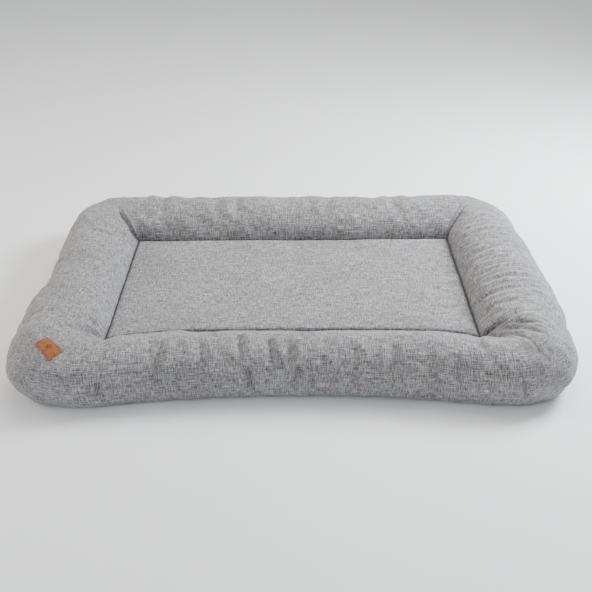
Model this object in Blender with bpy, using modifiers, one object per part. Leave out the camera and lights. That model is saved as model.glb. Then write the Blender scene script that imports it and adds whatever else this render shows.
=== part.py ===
"""Pet cushion bed: a stuffed bolster ring round a flat padded sleeping panel.

The ring's cover is one tube of cloth over four filled pillows that meet at the corner diagonals.
A zip in the rear wall opens the cover. X runs along the bed, Y from front to back, Z up from the
floor, and the origin is at the middle of the underside. All sizes are in metres.
"""

import math
from collections import namedtuple

import bmesh
import bpy
from mathutils import Vector

# The bed as a whole
LENGTH = 1.10
DEPTH = 0.79
HEIGHT = 0.120
BOLSTER_WIDTH = 0.175
PANEL_HEIGHT = 0.056

# The ring's outline
INNER_CORNER_RADIUS = 0.008
CORNER_SQUARENESS = 3.25  # 2 is a round corner, more is squarer
WAIST_FRONT = 0.038  # how far each side is pulled in between its corners
WAIST_RIGHT = 0.002
WAIST_BACK = 0.008
WAIST_LEFT = 0.014
BACK_RAMP = 0.115  # the back is straight beyond this distance from its inner corners

# The ring's section
SECTION_SQUARENESS = 2.12
WIDEST_UNDER_PANEL = 0.0045  # the outer wall is widest this far under the panel's top
SEAM_STAND = 0.004  # the inner wall stands upright this far over the seam
LOWER_HALF_SHOWN = 0.725  # share of the section's lower half that is over the floor
COVER_LAP = 0.012  # the cover is turned in under the fibre by this much

# Cloth, filling and clearances
CLOTH = 0.0015
LINER_CLOTH = 0.0008
GAP = 0.0003  # between two pieces that lie against each other
LAYER_GAP = 0.0007  # between two layers of a curved wall
WADDING = 0.010
PAD_CLEARANCE = 0.0008  # between the pad's filling and its liner, at the sides
PILLOW_GAP = 0.0010  # between two pillows at a corner diagonal
FILLING_HOLE = 0.030
PAD_SLOT_LENGTH = 0.120
PAD_SLOT_HEIGHT = 0.008

# The leather label
LABEL_LENGTH = 0.050
LABEL_WIDTH = 0.030
LABEL_THICKNESS = 0.0016
LABEL_DIRECTION = math.radians(239.4)  # from the front left corner's centre, seen from above
LABEL_REACH = 0.151  # of its middle from that centre
LABEL_FACING = math.radians(221.0)  # the way its lower long edge faces
LABEL_LIFT = 0.0009  # over the cover's facets, whose edges it has to clear

# The zip
ZIP_END_MARGIN = 0.125  # from the tape's end to the ring's inner corner
TAPE_HEIGHT = 0.026  # of both tapes together
TAPE_THICKNESS = 0.0006
ZIP_WINDOW_HEIGHT = 0.018
TAPE_END_LAP = 0.010  # the tapes run on behind the cover by this much
CHAIN_END_MARGIN = 0.0125  # from the window's end to the teeth
CHAIN_WIDTH = 0.0020  # of one row of teeth
CHAIN_THICKNESS = 0.0013
CHANNEL = 0.0026  # between the two rows, where the slider's post runs
STOP_LENGTH = 0.003
STOP_WIDTH = 0.0026
STOP_THICKNESS = 0.0017
SLIDER_LENGTH = 0.012
SLIDER_PLATE = 0.0012
SLIDER_FLANGE = 0.0009
SLIDER_EDGE = 0.0006  # from a flange to the plate's edge
POST_LENGTH = 0.006
POST_WIDTH = 0.0020
PARKING_GAP = 0.0005  # between the slider and a stop
BAIL_LENGTH = 0.008
BAIL_WIDTH = 0.0022
BAIL_WALL = 0.0011
PULL_LENGTH = 0.022
PULL_WIDTH = 0.007
PULL_THICKNESS = 0.0012
PULL_ARM = 0.0019
PULL_RISE = 0.0013  # of the hinge axis over the slider's plate
SEWING_ROOM = 0.0010  # between the slider's inner plate and the rear pillow

# How finely curves are cut
CORNER_STEPS = 6  # even, so that a station lies on the diagonal
RAMP_STEPS = 3
ARC_STEPS = 4
SECTION_ANGLES = (67.5, 45.0, 22.5)
LABEL_CELLS = (6, 4)

# Sizes that follow from the ones above
INNER_X = LENGTH / 2 - BOLSTER_WIDTH
INNER_Y = DEPTH / 2 - BOLSTER_WIDTH
STRAIGHT_X = 2 * (INNER_X - INNER_CORNER_RADIUS)
STRAIGHT_Y = 2 * (INNER_Y - INNER_CORNER_RADIUS)
SEAM_HEIGHT = PANEL_HEIGHT - CLOTH
WIDEST_HEIGHT = PANEL_HEIGHT - WIDEST_UNDER_PANEL
FLOOR_OF_COVER = CLOTH + GAP
LINER_INSET = CLOTH + LAYER_GAP
FIBRE_INSET = LINER_INSET + LINER_CLOTH + LAYER_GAP
FLAT_HALF = TAPE_HEIGHT / 2 + GAP

# Depths of the zip's layers, measured inwards from the cover's outer face
TAPE_FACE = CLOTH + GAP
TAPE_BACK = TAPE_FACE + TAPE_THICKNESS
INNER_PLATE_FACE = TAPE_BACK + GAP
INNER_PLATE_BACK = INNER_PLATE_FACE + SLIDER_PLATE
ZIP_ROOM = INNER_PLATE_BACK + SEWING_ROOM
REAR_FACE = DEPTH / 2 - WAIST_BACK

TAPE_LENGTH = 2 * (INNER_X - ZIP_END_MARGIN)
WINDOW_LENGTH = TAPE_LENGTH - 2 * TAPE_END_LAP
CHAIN_LENGTH = WINDOW_LENGTH - 2 * CHAIN_END_MARGIN
FLANGE_Z = CHANNEL / 2 + CHAIN_WIDTH + GAP + SLIDER_FLANGE / 2
SLIDER_WIDTH = 2 * (FLANGE_Z + SLIDER_FLANGE / 2 + SLIDER_EDGE)
SLIDER_START = -CHAIN_LENGTH / 2 + PARKING_GAP + SLIDER_LENGTH / 2

SIDES = ("front", "right", "back", "left")
SIDE_LENGTHS = (STRAIGHT_X, STRAIGHT_Y, STRAIGHT_X, STRAIGHT_Y)
WAISTS = (WAIST_FRONT, WAIST_RIGHT, WAIST_BACK, WAIST_LEFT)
RAMPS = (STRAIGHT_X / 2, STRAIGHT_Y / 2, BACK_RAMP, STRAIGHT_Y / 2)

# Colours, as linear red, green and blue, with roughness and metallic value
COLOURS = {
    "woven": ((0.36, 0.36, 0.35), 0.90, 0.0),
    "base": ((0.05, 0.05, 0.055), 0.90, 0.0),
    "liner": ((0.75, 0.75, 0.73), 0.85, 0.0),
    "fibre": ((0.85, 0.85, 0.85), 1.00, 0.0),
    "foam": ((0.80, 0.74, 0.45), 1.00, 0.0),
    "leather": ((0.40, 0.14, 0.06), 0.55, 0.0),
    "tape": ((0.16, 0.16, 0.16), 0.85, 0.0),
    "teeth": ((0.12, 0.12, 0.12), 0.40, 0.0),
    "metal": ((0.45, 0.45, 0.46), 0.30, 1.0),
}

Station = namedtuple("Station", "inner outwards width side share")


def clear_scene():
    for obj in list(bpy.data.objects):
        bpy.data.objects.remove(obj, do_unlink=True)


def make_collection(name):
    collection = bpy.data.collections.new(name)
    bpy.context.scene.collection.children.link(collection)
    return collection


def move_to(collection, obj):
    """Puts an object in this collection alone."""
    for old in list(obj.users_collection):
        old.objects.unlink(obj)
    collection.objects.link(obj)


def finish_part(obj, name, finish):
    """Names a part, puts it with the others and gives it a material of its own."""
    obj.name = name
    obj.data.name = name
    move_to(PARTS, obj)
    colour, roughness, metallic = COLOURS[finish]
    material = bpy.data.materials.new(name)
    material.use_nodes = True
    shader = material.node_tree.nodes["Principled BSDF"]
    shader.inputs["Base Color"].default_value = (*colour, 1.0)
    shader.inputs["Roughness"].default_value = roughness
    shader.inputs["Metallic"].default_value = metallic
    obj.data.materials.clear()
    obj.data.materials.append(material)
    return obj


def mesh_object(name, vertices, faces):
    mesh = bpy.data.meshes.new(name)
    mesh.from_pydata(vertices, [], faces)
    obj = bpy.data.objects.new(name, mesh)
    bpy.context.scene.collection.objects.link(obj)
    return obj


def add_solidify(obj, thickness, side):
    """side is -1 to thicken inwards from the surface and 1 to thicken outwards."""
    solidify = obj.modifiers.new("Solidify", "SOLIDIFY")
    solidify.thickness = thickness
    solidify.offset = side
    solidify.use_even_offset = True
    solidify.use_quality_normals = True


def add_bevel(obj, width, segments=1):
    bevel = obj.modifiers.new("Bevel", "BEVEL")
    bevel.width = width
    bevel.segments = segments
    bevel.limit_method = "ANGLE"


def add_boolean(obj, other, operation):
    boolean = obj.modifiers.new(operation.title(), "BOOLEAN")
    boolean.operation = operation
    boolean.object = other
    boolean.solver = "EXACT"


def hide_cutter(obj, name):
    obj.name = name
    obj.hide_render = True
    obj.display_type = "WIRE"
    move_to(CUTTERS, obj)
    return obj


# ---------------------------------------------------------------- the ring's outline


def waist(side, distance):
    """How far a side is pulled in, at this distance from its start."""
    ramp = RAMPS[side]
    x = min(distance, SIDE_LENGTHS[side] - distance, ramp) / ramp
    return WAISTS[side] * x * x * (3 - 2 * x)


def power(value, exponent):
    """A power that keeps the sign of its base."""
    return math.copysign(abs(value) ** exponent, value)


def outward(side):
    """The direction that a side faces."""
    angle = math.radians(90 * side - 90)
    return Vector((math.cos(angle), math.sin(angle)))


def turned(vector):
    """A plan direction turned a quarter turn anticlockwise."""
    return Vector((-vector.y, vector.x))


def side_stations(side):
    """The stations along one side, with both of its ends, anticlockwise."""
    length, ramp = SIDE_LENGTHS[side], RAMPS[side]
    rising = [ramp * i / RAMP_STEPS for i in range(RAMP_STEPS + 1)]
    distances = sorted({round(d, 6) for r in rising for d in (r, length - r)})
    face = outward(side)
    reach = INNER_Y if side % 2 == 0 else INNER_X
    stations = []
    for distance in distances:
        inner = face * reach + turned(face) * (distance - length / 2)
        pulled = waist(side, distance)
        share = pulled / max(WAISTS[side], GAP)
        stations.append(Station(inner, face, BOLSTER_WIDTH - pulled, side, share))
    return stations


def corner_centre(side):
    """The centre of the corner that follows a side."""
    diagonal = outward(side) + outward(side + 1)
    x_reach, y_reach = INNER_X - INNER_CORNER_RADIUS, INNER_Y - INNER_CORNER_RADIUS
    return Vector((diagonal.x * x_reach, diagonal.y * y_reach))


def corner_stations(side):
    """The stations round the corner that follows a side, without the two ends."""
    centre = corner_centre(side)
    start, end = outward(side), outward(side + 1)
    stations = []
    for i in range(1, CORNER_STEPS):
        angle = math.pi / 2 * i / CORNER_STEPS
        bend = 2 / CORNER_SQUARENESS
        inner_way = start * math.cos(angle) + end * math.sin(angle)
        outer_way = start * math.cos(angle) ** bend + end * math.sin(angle) ** bend
        inner = centre + inner_way * INNER_CORNER_RADIUS
        outer = centre + outer_way * (INNER_CORNER_RADIUS + BOLSTER_WIDTH)
        across = outer - inner
        stations.append(Station(inner, across.normalized(), across.length, side, 0.0))
    return stations


def ring_stations():
    stations = []
    for side in range(4):
        stations += side_stations(side) + corner_stations(side)
    return stations


def pillow_stations(side):
    """The stations of one pillow, from one corner diagonal to the next."""
    middle = CORNER_STEPS // 2 - 1
    before = corner_stations((side - 1) % 4)[middle:]
    after = corner_stations(side)[: middle + 1]
    return before + side_stations(side) + after


# ---------------------------------------------------------------- the ring's section


def wall_point(angle, centre, half, height, drop):
    """A point of the rounded outline, as distance outwards and height."""
    bend = 2 / SECTION_SQUARENESS
    across = power(math.cos(angle), bend)
    up = power(math.sin(angle), bend)
    return centre + half * across, height + drop * up


def angle_of(share):
    """The angle where the outline has this share of its height."""
    return math.asin(share ** (SECTION_SQUARENESS / 2))


def outer_wall(width, inset, outer_inset, floor):
    """The outline from the crown down the outer side to the floor."""
    half = (width - inset - outer_inset) / 2
    centre = inset + half
    rise = HEIGHT - WIDEST_HEIGHT - inset
    drop = WIDEST_HEIGHT / LOWER_HALF_SHOWN - inset
    flat = angle_of(FLAT_HALF / rise)
    flat_below = angle_of(FLAT_HALF / drop)
    floor_angle = angle_of((WIDEST_HEIGHT - floor) / drop)
    # the flat band for the zip stands at the full width
    stretch = 1 / math.cos(flat) ** (2 / SECTION_SQUARENESS)
    points = [(centre, HEIGHT - inset)]
    for degrees in SECTION_ANGLES:
        angle = math.radians(degrees)
        if angle > flat:
            points.append(wall_point(angle, centre, half * stretch, WIDEST_HEIGHT, rise))
    points = [(min(u, width - outer_inset), z) for u, z in points]
    points.append((width - outer_inset, WIDEST_HEIGHT + FLAT_HALF))
    points.append((width - outer_inset, WIDEST_HEIGHT - FLAT_HALF))
    for angle in ((flat_below + floor_angle) / 2, floor_angle):
        points.append(wall_point(-angle, centre, half, WIDEST_HEIGHT, drop))
    return points


def inner_wall(width, inset, outer_inset):
    """The outline from the seam's upright stand up to just before the crown."""
    half = (width - inset - outer_inset) / 2
    centre = inset + half
    foot = SEAM_HEIGHT + SEAM_STAND
    rise = HEIGHT - foot - inset
    points = [(inset, foot)]
    for degrees in reversed(SECTION_ANGLES):
        angle = math.radians(180 - degrees)
        points.append(wall_point(angle, centre, half, foot, rise))
    return points


def cover_section(station):
    """The cover's outer surface, from the seam over the crown to the lap under the fibre."""
    points = [(0.0, SEAM_HEIGHT)]
    points += inner_wall(station.width, 0.0, 0.0)
    points += outer_wall(station.width, 0.0, 0.0, FLOOR_OF_COVER)
    points.append((points[-1][0] - COVER_LAP, FLOOR_OF_COVER))
    return points


def filling_section(station, inset):
    """A closed outline inside the cover. The rear pillow leaves room for the zip."""
    floor = FLOOR_OF_COVER + inset
    is_rear = SIDES[station.side] == "back"
    extra = max(0.0, ZIP_ROOM - LINER_INSET) * station.share if is_rear else 0.0
    points = [(inset, floor + inset)]
    points += inner_wall(station.width, inset, inset + extra)
    points += outer_wall(station.width, inset, inset + extra, floor)
    points.append((2 * inset, floor))
    return points


def placed(station, points):
    """Section points in space."""
    return [(*(station.inner + station.outwards * u), z) for u, z in points]


def cut_back(end_row, next_row, along, distance):
    """A pillow's end row moved along its walls until its plane is this far from the diagonal."""
    moved = []
    for point, neighbour in zip(map(Vector, end_row), map(Vector, next_row)):
        step = neighbour - point
        moved.append(point + step * distance / step.dot(along))
    return moved


def skin(rows, columns_join, rows_join):
    """Faces that look outwards between neighbouring rows of points."""
    count, width = len(rows), len(rows[0])
    faces = []
    for i in range(count if rows_join else count - 1):
        below = (i + 1) % count
        for j in range(width if columns_join else width - 1):
            k = (j + 1) % width
            faces.append((i * width + j, i * width + k, below * width + k, below * width + j))
    return faces


def pillow(side, inset, end_gap):
    """The rows of points of one pillow's outer surface, its ends set back from the diagonals."""
    stations = pillow_stations(side)
    rows = [placed(station, filling_section(station, inset)) for station in stations]
    start = turned(stations[0].outwards).to_3d()
    end = -turned(stations[-1].outwards).to_3d()
    rows[0] = cut_back(rows[0], rows[1], start, end_gap)
    rows[-1] = cut_back(rows[-1], rows[-2], end, end_gap)
    return rows


def hole_loop(row, radius):
    """Points of a round hole in the end of a pillow, one for each point of its outline."""
    corners = [Vector(point) for point in row]
    middle = sum(corners, Vector()) / len(corners)
    return [middle + (corner - middle).normalized() * radius for corner in corners]


def make_fibre(side):
    end_gap = PILLOW_GAP / 2 + LINER_CLOTH + LAYER_GAP
    rows = pillow(side, FIBRE_INSET, end_gap)
    width = len(rows[0])
    faces = skin(rows, True, False)
    faces.append(tuple(reversed(range(width))))
    faces.append(tuple(range((len(rows) - 1) * width, len(rows) * width)))
    name = f"bolster_fibre_{SIDES[side]}"
    obj = mesh_object(name, [point for row in rows for point in row], faces)
    return finish_part(obj, name, "fibre")


def make_liner(side):
    rows = pillow(side, LINER_INSET, PILLOW_GAP / 2)
    rows.append(hole_loop(rows[-1], FILLING_HOLE / 2))
    faces = skin(rows, True, False)
    faces.append(tuple(reversed(range(len(rows[0])))))
    name = f"bolster_liner_{SIDES[side]}"
    obj = mesh_object(name, [point for row in rows for point in row], faces)
    add_solidify(obj, LINER_CLOTH, -1)
    return finish_part(obj, name, "liner")


def make_cover():
    rows = [placed(station, cover_section(station)) for station in ring_stations()]
    faces = skin(rows, False, True)
    obj = mesh_object("bolster_cover", [point for row in rows for point in row], faces)
    add_solidify(obj, CLOTH, -1)
    window = box("zip_window", (WINDOW_LENGTH, 4 * ZIP_ROOM, ZIP_WINDOW_HEIGHT))
    window.location = (0.0, REAR_FACE, WIDEST_HEIGHT)
    hide_cutter(window, "zip_window")
    add_boolean(obj, window, "DIFFERENCE")
    return finish_part(obj, "bolster_cover", "woven")


# ---------------------------------------------------------------- flat pieces


def rounded_rectangle(half_x, half_y, radius):
    points = []
    for quarter in range(4):
        x = (half_x - radius) * (1 if quarter in (0, 3) else -1)
        y = (half_y - radius) * (1 if quarter < 2 else -1)
        for i in range(ARC_STEPS + 1):
            angle = math.pi / 2 * (quarter + i / ARC_STEPS)
            points.append((x + radius * math.cos(angle), y + radius * math.sin(angle)))
    return points


def inner_outline(inset):
    """The ring's inner outline, inset towards the middle, or outset where inset is negative."""
    return rounded_rectangle(INNER_X - inset, INNER_Y - inset, INNER_CORNER_RADIUS - inset)


def underside_outline():
    """Where the cover's outer wall meets the floor."""
    return [
        tuple(station.inner + station.outwards * cover_section(station)[-2][0])
        for station in ring_stations()
    ]


def flat_shape(name, outlines, thickness):
    """An extruded flat outline about its middle plane. A second outline is a hole."""
    curve = bpy.data.curves.new(name, "CURVE")
    curve.dimensions = "2D"
    curve.fill_mode = "BOTH"
    curve.extrude = thickness / 2
    for outline in outlines:
        spline = curve.splines.new("POLY")
        spline.points.add(len(outline) - 1)
        for point, (x, y) in zip(spline.points, outline):
            point.co = (x, y, 0.0, 1.0)
        spline.use_cyclic_u = True
    obj = bpy.data.objects.new(name, curve)
    bpy.context.scene.collection.objects.link(obj)
    return obj


def flat_piece(name, outlines, bottom, top, finish):
    obj = flat_shape(name, outlines, top - bottom)
    obj.location.z = (bottom + top) / 2
    return finish_part(obj, name, finish)


def solid_mesh(obj):
    """Turns a flat shape into a closed mesh, so that it can be cut or joined."""
    depsgraph = bpy.context.evaluated_depsgraph_get()
    mesh = bpy.data.meshes.new_from_object(obj.evaluated_get(depsgraph))
    working = bmesh.new()
    working.from_mesh(mesh)
    bmesh.ops.remove_doubles(working, verts=working.verts, dist=GAP / 30)
    bmesh.ops.recalc_face_normals(working, faces=working.faces)
    working.to_mesh(mesh)
    working.free()
    solid = bpy.data.objects.new(obj.name, mesh)
    bpy.context.scene.collection.objects.link(solid)
    bpy.context.view_layer.update()
    solid.matrix_world = obj.matrix_world
    bpy.data.objects.remove(obj)
    return solid


def box(name, size):
    bpy.ops.mesh.primitive_cube_add(size=1.0)
    obj = bpy.context.object
    obj.name = name
    obj.scale = size
    bpy.ops.object.transform_apply(location=False, rotation=False, scale=True)
    return obj


def make_pad_liner(bottom, top):
    """A flat bag with a filling slot in its front edge."""
    outer = flat_shape("pad_liner", [inner_outline(GAP)], top - bottom)
    outer.location.z = (bottom + top) / 2
    shell = solid_mesh(outer)
    inside = inner_outline(GAP + LINER_CLOTH)
    hollow = flat_shape("pad_hollow", [inside], top - bottom - 2 * LINER_CLOTH)
    hollow.location.z = (bottom + top) / 2
    hollow = hide_cutter(solid_mesh(hollow), "pad_hollow")
    slot = box("pad_slot", (PAD_SLOT_LENGTH, 8 * LINER_CLOTH, PAD_SLOT_HEIGHT))
    slot.location = (0.0, -INNER_Y, (bottom + top) / 2)
    hide_cutter(slot, "pad_slot")
    add_boolean(shell, hollow, "DIFFERENCE")
    add_boolean(shell, slot, "DIFFERENCE")
    return finish_part(shell, "pad_liner", "liner")


def make_pad():
    """The middle pad between the base panel and the sleeping panel."""
    liner_bottom = CLOTH + GAP
    liner_top = SEAM_HEIGHT - GAP
    make_pad_liner(liner_bottom, liner_top)
    filling = [inner_outline(GAP + LINER_CLOTH + PAD_CLEARANCE)]
    low = liner_bottom + LINER_CLOTH + GAP
    high = liner_top - LINER_CLOTH - GAP
    flat_piece("pad_wadding_bottom", filling, low, low + WADDING, "fibre")
    flat_piece("pad_wadding_top", filling, high - WADDING, high, "fibre")
    flat_piece("pad_foam_core", filling, low + WADDING + GAP, high - WADDING - GAP, "foam")


def make_panels():
    flat_piece("base_panel", [underside_outline()], 0.0, CLOTH, "base")
    flat_piece("sleeping_panel", [inner_outline(GAP)], SEAM_HEIGHT, PANEL_HEIGHT, "woven")
    walls = [inner_outline(-CLOTH), inner_outline(0.0)]
    flat_piece("bolster_divider", walls, CLOTH + GAP, SEAM_HEIGHT - GAP, "liner")


# ---------------------------------------------------------------- the label


def make_label(cover):
    """A leather patch laid on the front left corner, across the corner's diagonal."""
    centre = corner_centre(3)
    way = Vector((math.cos(LABEL_DIRECTION), math.sin(LABEL_DIRECTION)))
    middle = centre + way * LABEL_REACH
    columns, rows = LABEL_CELLS
    bpy.ops.mesh.primitive_grid_add(x_subdivisions=columns, y_subdivisions=rows, size=1.0)
    label = bpy.context.object
    label.scale = (LABEL_LENGTH, LABEL_WIDTH, 1.0)
    bpy.ops.object.transform_apply(location=False, rotation=False, scale=True)
    corner = corner_stations(3)[CORNER_STEPS // 2 - 1]
    wall = outer_wall(corner.width, 0.0, 0.0, FLOOR_OF_COVER)
    (u0, z0), (u1, z1) = wall[0], wall[2]
    slope = math.atan2(z0 - z1, u1 - u0)
    label.rotation_euler = (slope, 0.0, LABEL_FACING + math.pi / 2)
    label.location = (middle.x, middle.y, HEIGHT)
    wrap = label.modifiers.new("Shrinkwrap", "SHRINKWRAP")
    wrap.target = cover
    wrap.wrap_method = "PROJECT"
    wrap.use_project_z = True
    wrap.use_negative_direction = True
    wrap.use_positive_direction = False
    wrap.offset = LABEL_LIFT
    add_solidify(label, LABEL_THICKNESS, 1)
    return finish_part(label, "leather_label", "leather")


# ---------------------------------------------------------------- the zip


def zip_block(name, size, x, depth, z, finish):
    """A block of the zip. depth is how far its outer face lies inside the cover's outer face."""
    obj = box(name, size)
    obj.location = (x, REAR_FACE - depth - size[1] / 2, WIDEST_HEIGHT + z)
    return finish_part(obj, name, finish)


def make_zip_tapes_and_chain():
    tape_width = (TAPE_HEIGHT - CHANNEL) / 2
    chain_size = (CHAIN_LENGTH, CHAIN_THICKNESS, CHAIN_WIDTH)
    chain_depth = TAPE_FACE - GAP - CHAIN_THICKNESS
    stop_size = (STOP_LENGTH, STOP_THICKNESS, STOP_WIDTH)
    stop_depth = TAPE_FACE - GAP - STOP_THICKNESS
    stop_x = CHAIN_LENGTH / 2 + GAP + STOP_LENGTH / 2
    for row, sign in (("upper", 1), ("lower", -1)):
        tape_size = (TAPE_LENGTH, TAPE_THICKNESS, tape_width)
        tape_z = sign * (CHANNEL + tape_width) / 2
        chain_z = sign * (CHANNEL + CHAIN_WIDTH) / 2
        stop_z = sign * (CHANNEL + STOP_WIDTH) / 2
        zip_block(f"zip_tape_{row}", tape_size, 0.0, TAPE_FACE, tape_z, "tape")
        zip_block(f"zip_chain_{row}", chain_size, 0.0, chain_depth, chain_z, "teeth")
        zip_block(f"zip_top_stop_{row}", stop_size, -stop_x, stop_depth, stop_z, "metal")
    bottom_size = (STOP_LENGTH, STOP_THICKNESS, CHANNEL + 2 * STOP_WIDTH)
    zip_block("zip_bottom_stop", bottom_size, stop_x, stop_depth, 0.0, "metal")


def slider_part(name, size, location):
    obj = box(name, size)
    obj.location = location
    return hide_cutter(obj, name)


def make_slider():
    """Two plates joined by a post, with a bail on the outer plate. Its origin is on its path.

    Depths are measured outwards from the cover's outer face, where its origin lies.
    """
    outer_face = CHAIN_THICKNESS - CLOTH + GAP
    inner_face = -INNER_PLATE_FACE
    bail_height = PULL_RISE + PULL_THICKNESS / 2 + GAP + BAIL_WALL
    outer = box("zip_slider", (SLIDER_LENGTH, SLIDER_PLATE, SLIDER_WIDTH))
    for vertex in outer.data.vertices:
        vertex.co.y += outer_face + SLIDER_PLATE / 2
    outer.location = (SLIDER_START, REAR_FACE, WIDEST_HEIGHT)
    add_bevel(outer, SLIDER_PLATE / 3)

    def at(depth, z=0.0):
        return (SLIDER_START, REAR_FACE + depth, WIDEST_HEIGHT + z)

    plate = slider_part(
        "slider_inner_plate",
        (SLIDER_LENGTH, SLIDER_PLATE, SLIDER_WIDTH),
        at(inner_face - SLIDER_PLATE / 2),
    )
    reach = outer_face - inner_face + SLIDER_PLATE
    post = slider_part(
        "slider_post", (POST_LENGTH, reach, POST_WIDTH), at((outer_face + inner_face) / 2)
    )
    bail = slider_part(
        "slider_bail",
        (BAIL_LENGTH, bail_height + SLIDER_PLATE / 2, BAIL_WIDTH),
        at(outer_face + SLIDER_PLATE / 2 + (bail_height + SLIDER_PLATE / 2) / 2),
    )
    add_bevel(bail, BAIL_WALL / 3)
    for piece in (plate, post, bail):
        add_boolean(outer, piece, "UNION")
    for sign in (-1, 1):
        flange_depth = CHAIN_THICKNESS
        flange = slider_part(
            f"slider_flange_{'upper' if sign > 0 else 'lower'}",
            (SLIDER_LENGTH * 0.8, flange_depth, SLIDER_FLANGE),
            at(outer_face + SLIDER_PLATE / 2 - flange_depth / 2, sign * FLANGE_Z),
        )
        add_boolean(outer, flange, "UNION")
    tunnel_height = bail_height - BAIL_WALL
    tunnel = slider_part(
        "slider_tunnel",
        (BAIL_LENGTH - 4 * BAIL_WALL, tunnel_height, 2 * BAIL_WIDTH),
        at(outer_face + SLIDER_PLATE + tunnel_height / 2),
    )
    add_boolean(outer, tunnel, "DIFFERENCE")
    return finish_part(outer, "zip_slider", "metal")


def make_pull(slider):
    """A flat tab with an eye. The eye's end bar lies in the bail, on the hinge axis."""
    bar = PULL_THICKNESS / 2
    eye_end = BAIL_LENGTH / 2 + PULL_THICKNESS
    half = PULL_WIDTH / 2
    length = PULL_LENGTH - bar
    tip = half * 0.6
    outline = [(-bar, -half), (length - tip, -half), (length, -half + tip)]
    outline += [(length, half - tip), (length - tip, half), (-bar, half)]
    eye_half = half - PULL_ARM
    eye = [(bar, -eye_half), (eye_end, -eye_half), (eye_end, eye_half), (bar, eye_half)]
    pull = flat_shape("zip_pull", [outline, eye], PULL_THICKNESS)
    pull.rotation_euler = (math.pi / 2, 0.0, 0.0)
    pull.parent = slider
    rise = CHAIN_THICKNESS - CLOTH + GAP + SLIDER_PLATE + PULL_RISE
    pull.location = (0.0, rise, 0.0)
    return finish_part(pull, "zip_pull", "metal")


clear_scene()
PARTS = make_collection("pet_cushion_bed")
CUTTERS = make_collection("cutters")
bolster_cover = make_cover()
for side_number in range(4):
    make_liner(side_number)
    make_fibre(side_number)
make_panels()
make_pad()
make_label(bolster_cover)
make_zip_tapes_and_chain()
make_pull(make_slider())
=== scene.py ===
# %% [markdown]
# # A pet cushion bed
# The bed is one soft object: a stuffed ring of woven cloth round a flat sleeping panel, with a
# leather label on one corner and a zip in the rear wall. The solid model already holds the sizes,
# the filling and the zip's motion. This lesson makes the surfaces that are seen. It starts by
# loading that model as a fixed frame, because every length below is read from it.

# %% Load the frame
import math

import bmesh
import bpy
import numpy as np
from mathutils import Matrix, Vector
from mathutils.bvhtree import BVHTree


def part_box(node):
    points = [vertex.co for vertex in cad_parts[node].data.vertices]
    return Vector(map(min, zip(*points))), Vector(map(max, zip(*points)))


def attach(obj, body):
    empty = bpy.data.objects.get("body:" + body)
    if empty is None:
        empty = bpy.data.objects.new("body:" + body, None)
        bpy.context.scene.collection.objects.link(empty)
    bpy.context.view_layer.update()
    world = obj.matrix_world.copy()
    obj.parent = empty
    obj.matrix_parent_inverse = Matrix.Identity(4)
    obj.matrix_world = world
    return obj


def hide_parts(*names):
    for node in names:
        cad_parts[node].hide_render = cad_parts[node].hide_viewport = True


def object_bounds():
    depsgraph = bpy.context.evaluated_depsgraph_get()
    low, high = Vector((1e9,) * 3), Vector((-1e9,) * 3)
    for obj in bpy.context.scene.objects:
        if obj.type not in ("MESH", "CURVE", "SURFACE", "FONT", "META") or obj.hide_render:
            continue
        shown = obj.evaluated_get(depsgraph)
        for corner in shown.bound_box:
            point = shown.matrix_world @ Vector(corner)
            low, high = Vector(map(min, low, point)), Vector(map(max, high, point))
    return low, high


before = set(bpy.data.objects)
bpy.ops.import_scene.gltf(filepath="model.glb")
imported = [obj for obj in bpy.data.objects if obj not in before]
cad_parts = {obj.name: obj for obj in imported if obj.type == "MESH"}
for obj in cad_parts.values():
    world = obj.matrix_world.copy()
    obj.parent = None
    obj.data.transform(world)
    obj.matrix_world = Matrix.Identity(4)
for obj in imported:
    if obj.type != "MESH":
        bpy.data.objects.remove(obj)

CAD_BOX = [list(corner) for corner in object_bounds()]
print("solid model's box", CAD_BOX)

# %% [markdown]
# ## The sizes that everything follows
# A designer reads a few driving lengths from the pattern and works the rest out. The panel's box
# gives the inner rectangle, the whole box gives the outline, and the zip's pieces say where the
# rear wall is and how high the ring is widest.

# %% Read the driving sizes
BOX_HIGH = Vector(CAD_BOX[1])
PANEL_LOW, PANEL_HIGH = (Vector(corner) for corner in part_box("sleeping_panel"))
TAPE_LOW, TAPE_HIGH = (Vector(corner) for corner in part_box("zip_tape_upper"))
CHAIN_LOW, CHAIN_HIGH = (Vector(corner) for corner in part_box("zip_chain_upper"))
SEAM_GAP = 0.0003
INNER_X = PANEL_HIGH.x + SEAM_GAP
INNER_Y = PANEL_HIGH.y + SEAM_GAP
RING_WIDTH = BOX_HIGH.x - INNER_X
CROWN = BOX_HIGH.z
CLOTH = PANEL_HIGH.z - PANEL_LOW.z
REAR_FACE = TAPE_HIGH.y + CLOTH + SEAM_GAP
ZIP_HEIGHT = (CHAIN_LOW.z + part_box("zip_chain_lower")[1][2]) / 2
WAISTS = {"front": 0.043, "right": -0.004, "back": BOX_HIGH.y - REAR_FACE, "left": 0.014}
print("ring", round(RING_WIDTH, 4), "wide,", round(CROWN, 4), "high, rear face", round(REAR_FACE, 4))

# %% [markdown]
# ## The camera
# A low bed is best shown from standing height, about a metre and a half away and looking down by
# some thirty degrees. A camera is easiest to place by three directions, ahead, right and up, which
# are written straight into its matrix.

# %% Place the camera
CAMERA_PLACE = Vector((0.0089, -1.6532, 0.9970))
CAMERA_PITCH = math.radians(30.448)
CAMERA_YAW = math.radians(-0.064)
CAMERA_ROLL = math.radians(-0.362)
CAMERA_LENS = 52.47


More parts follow.
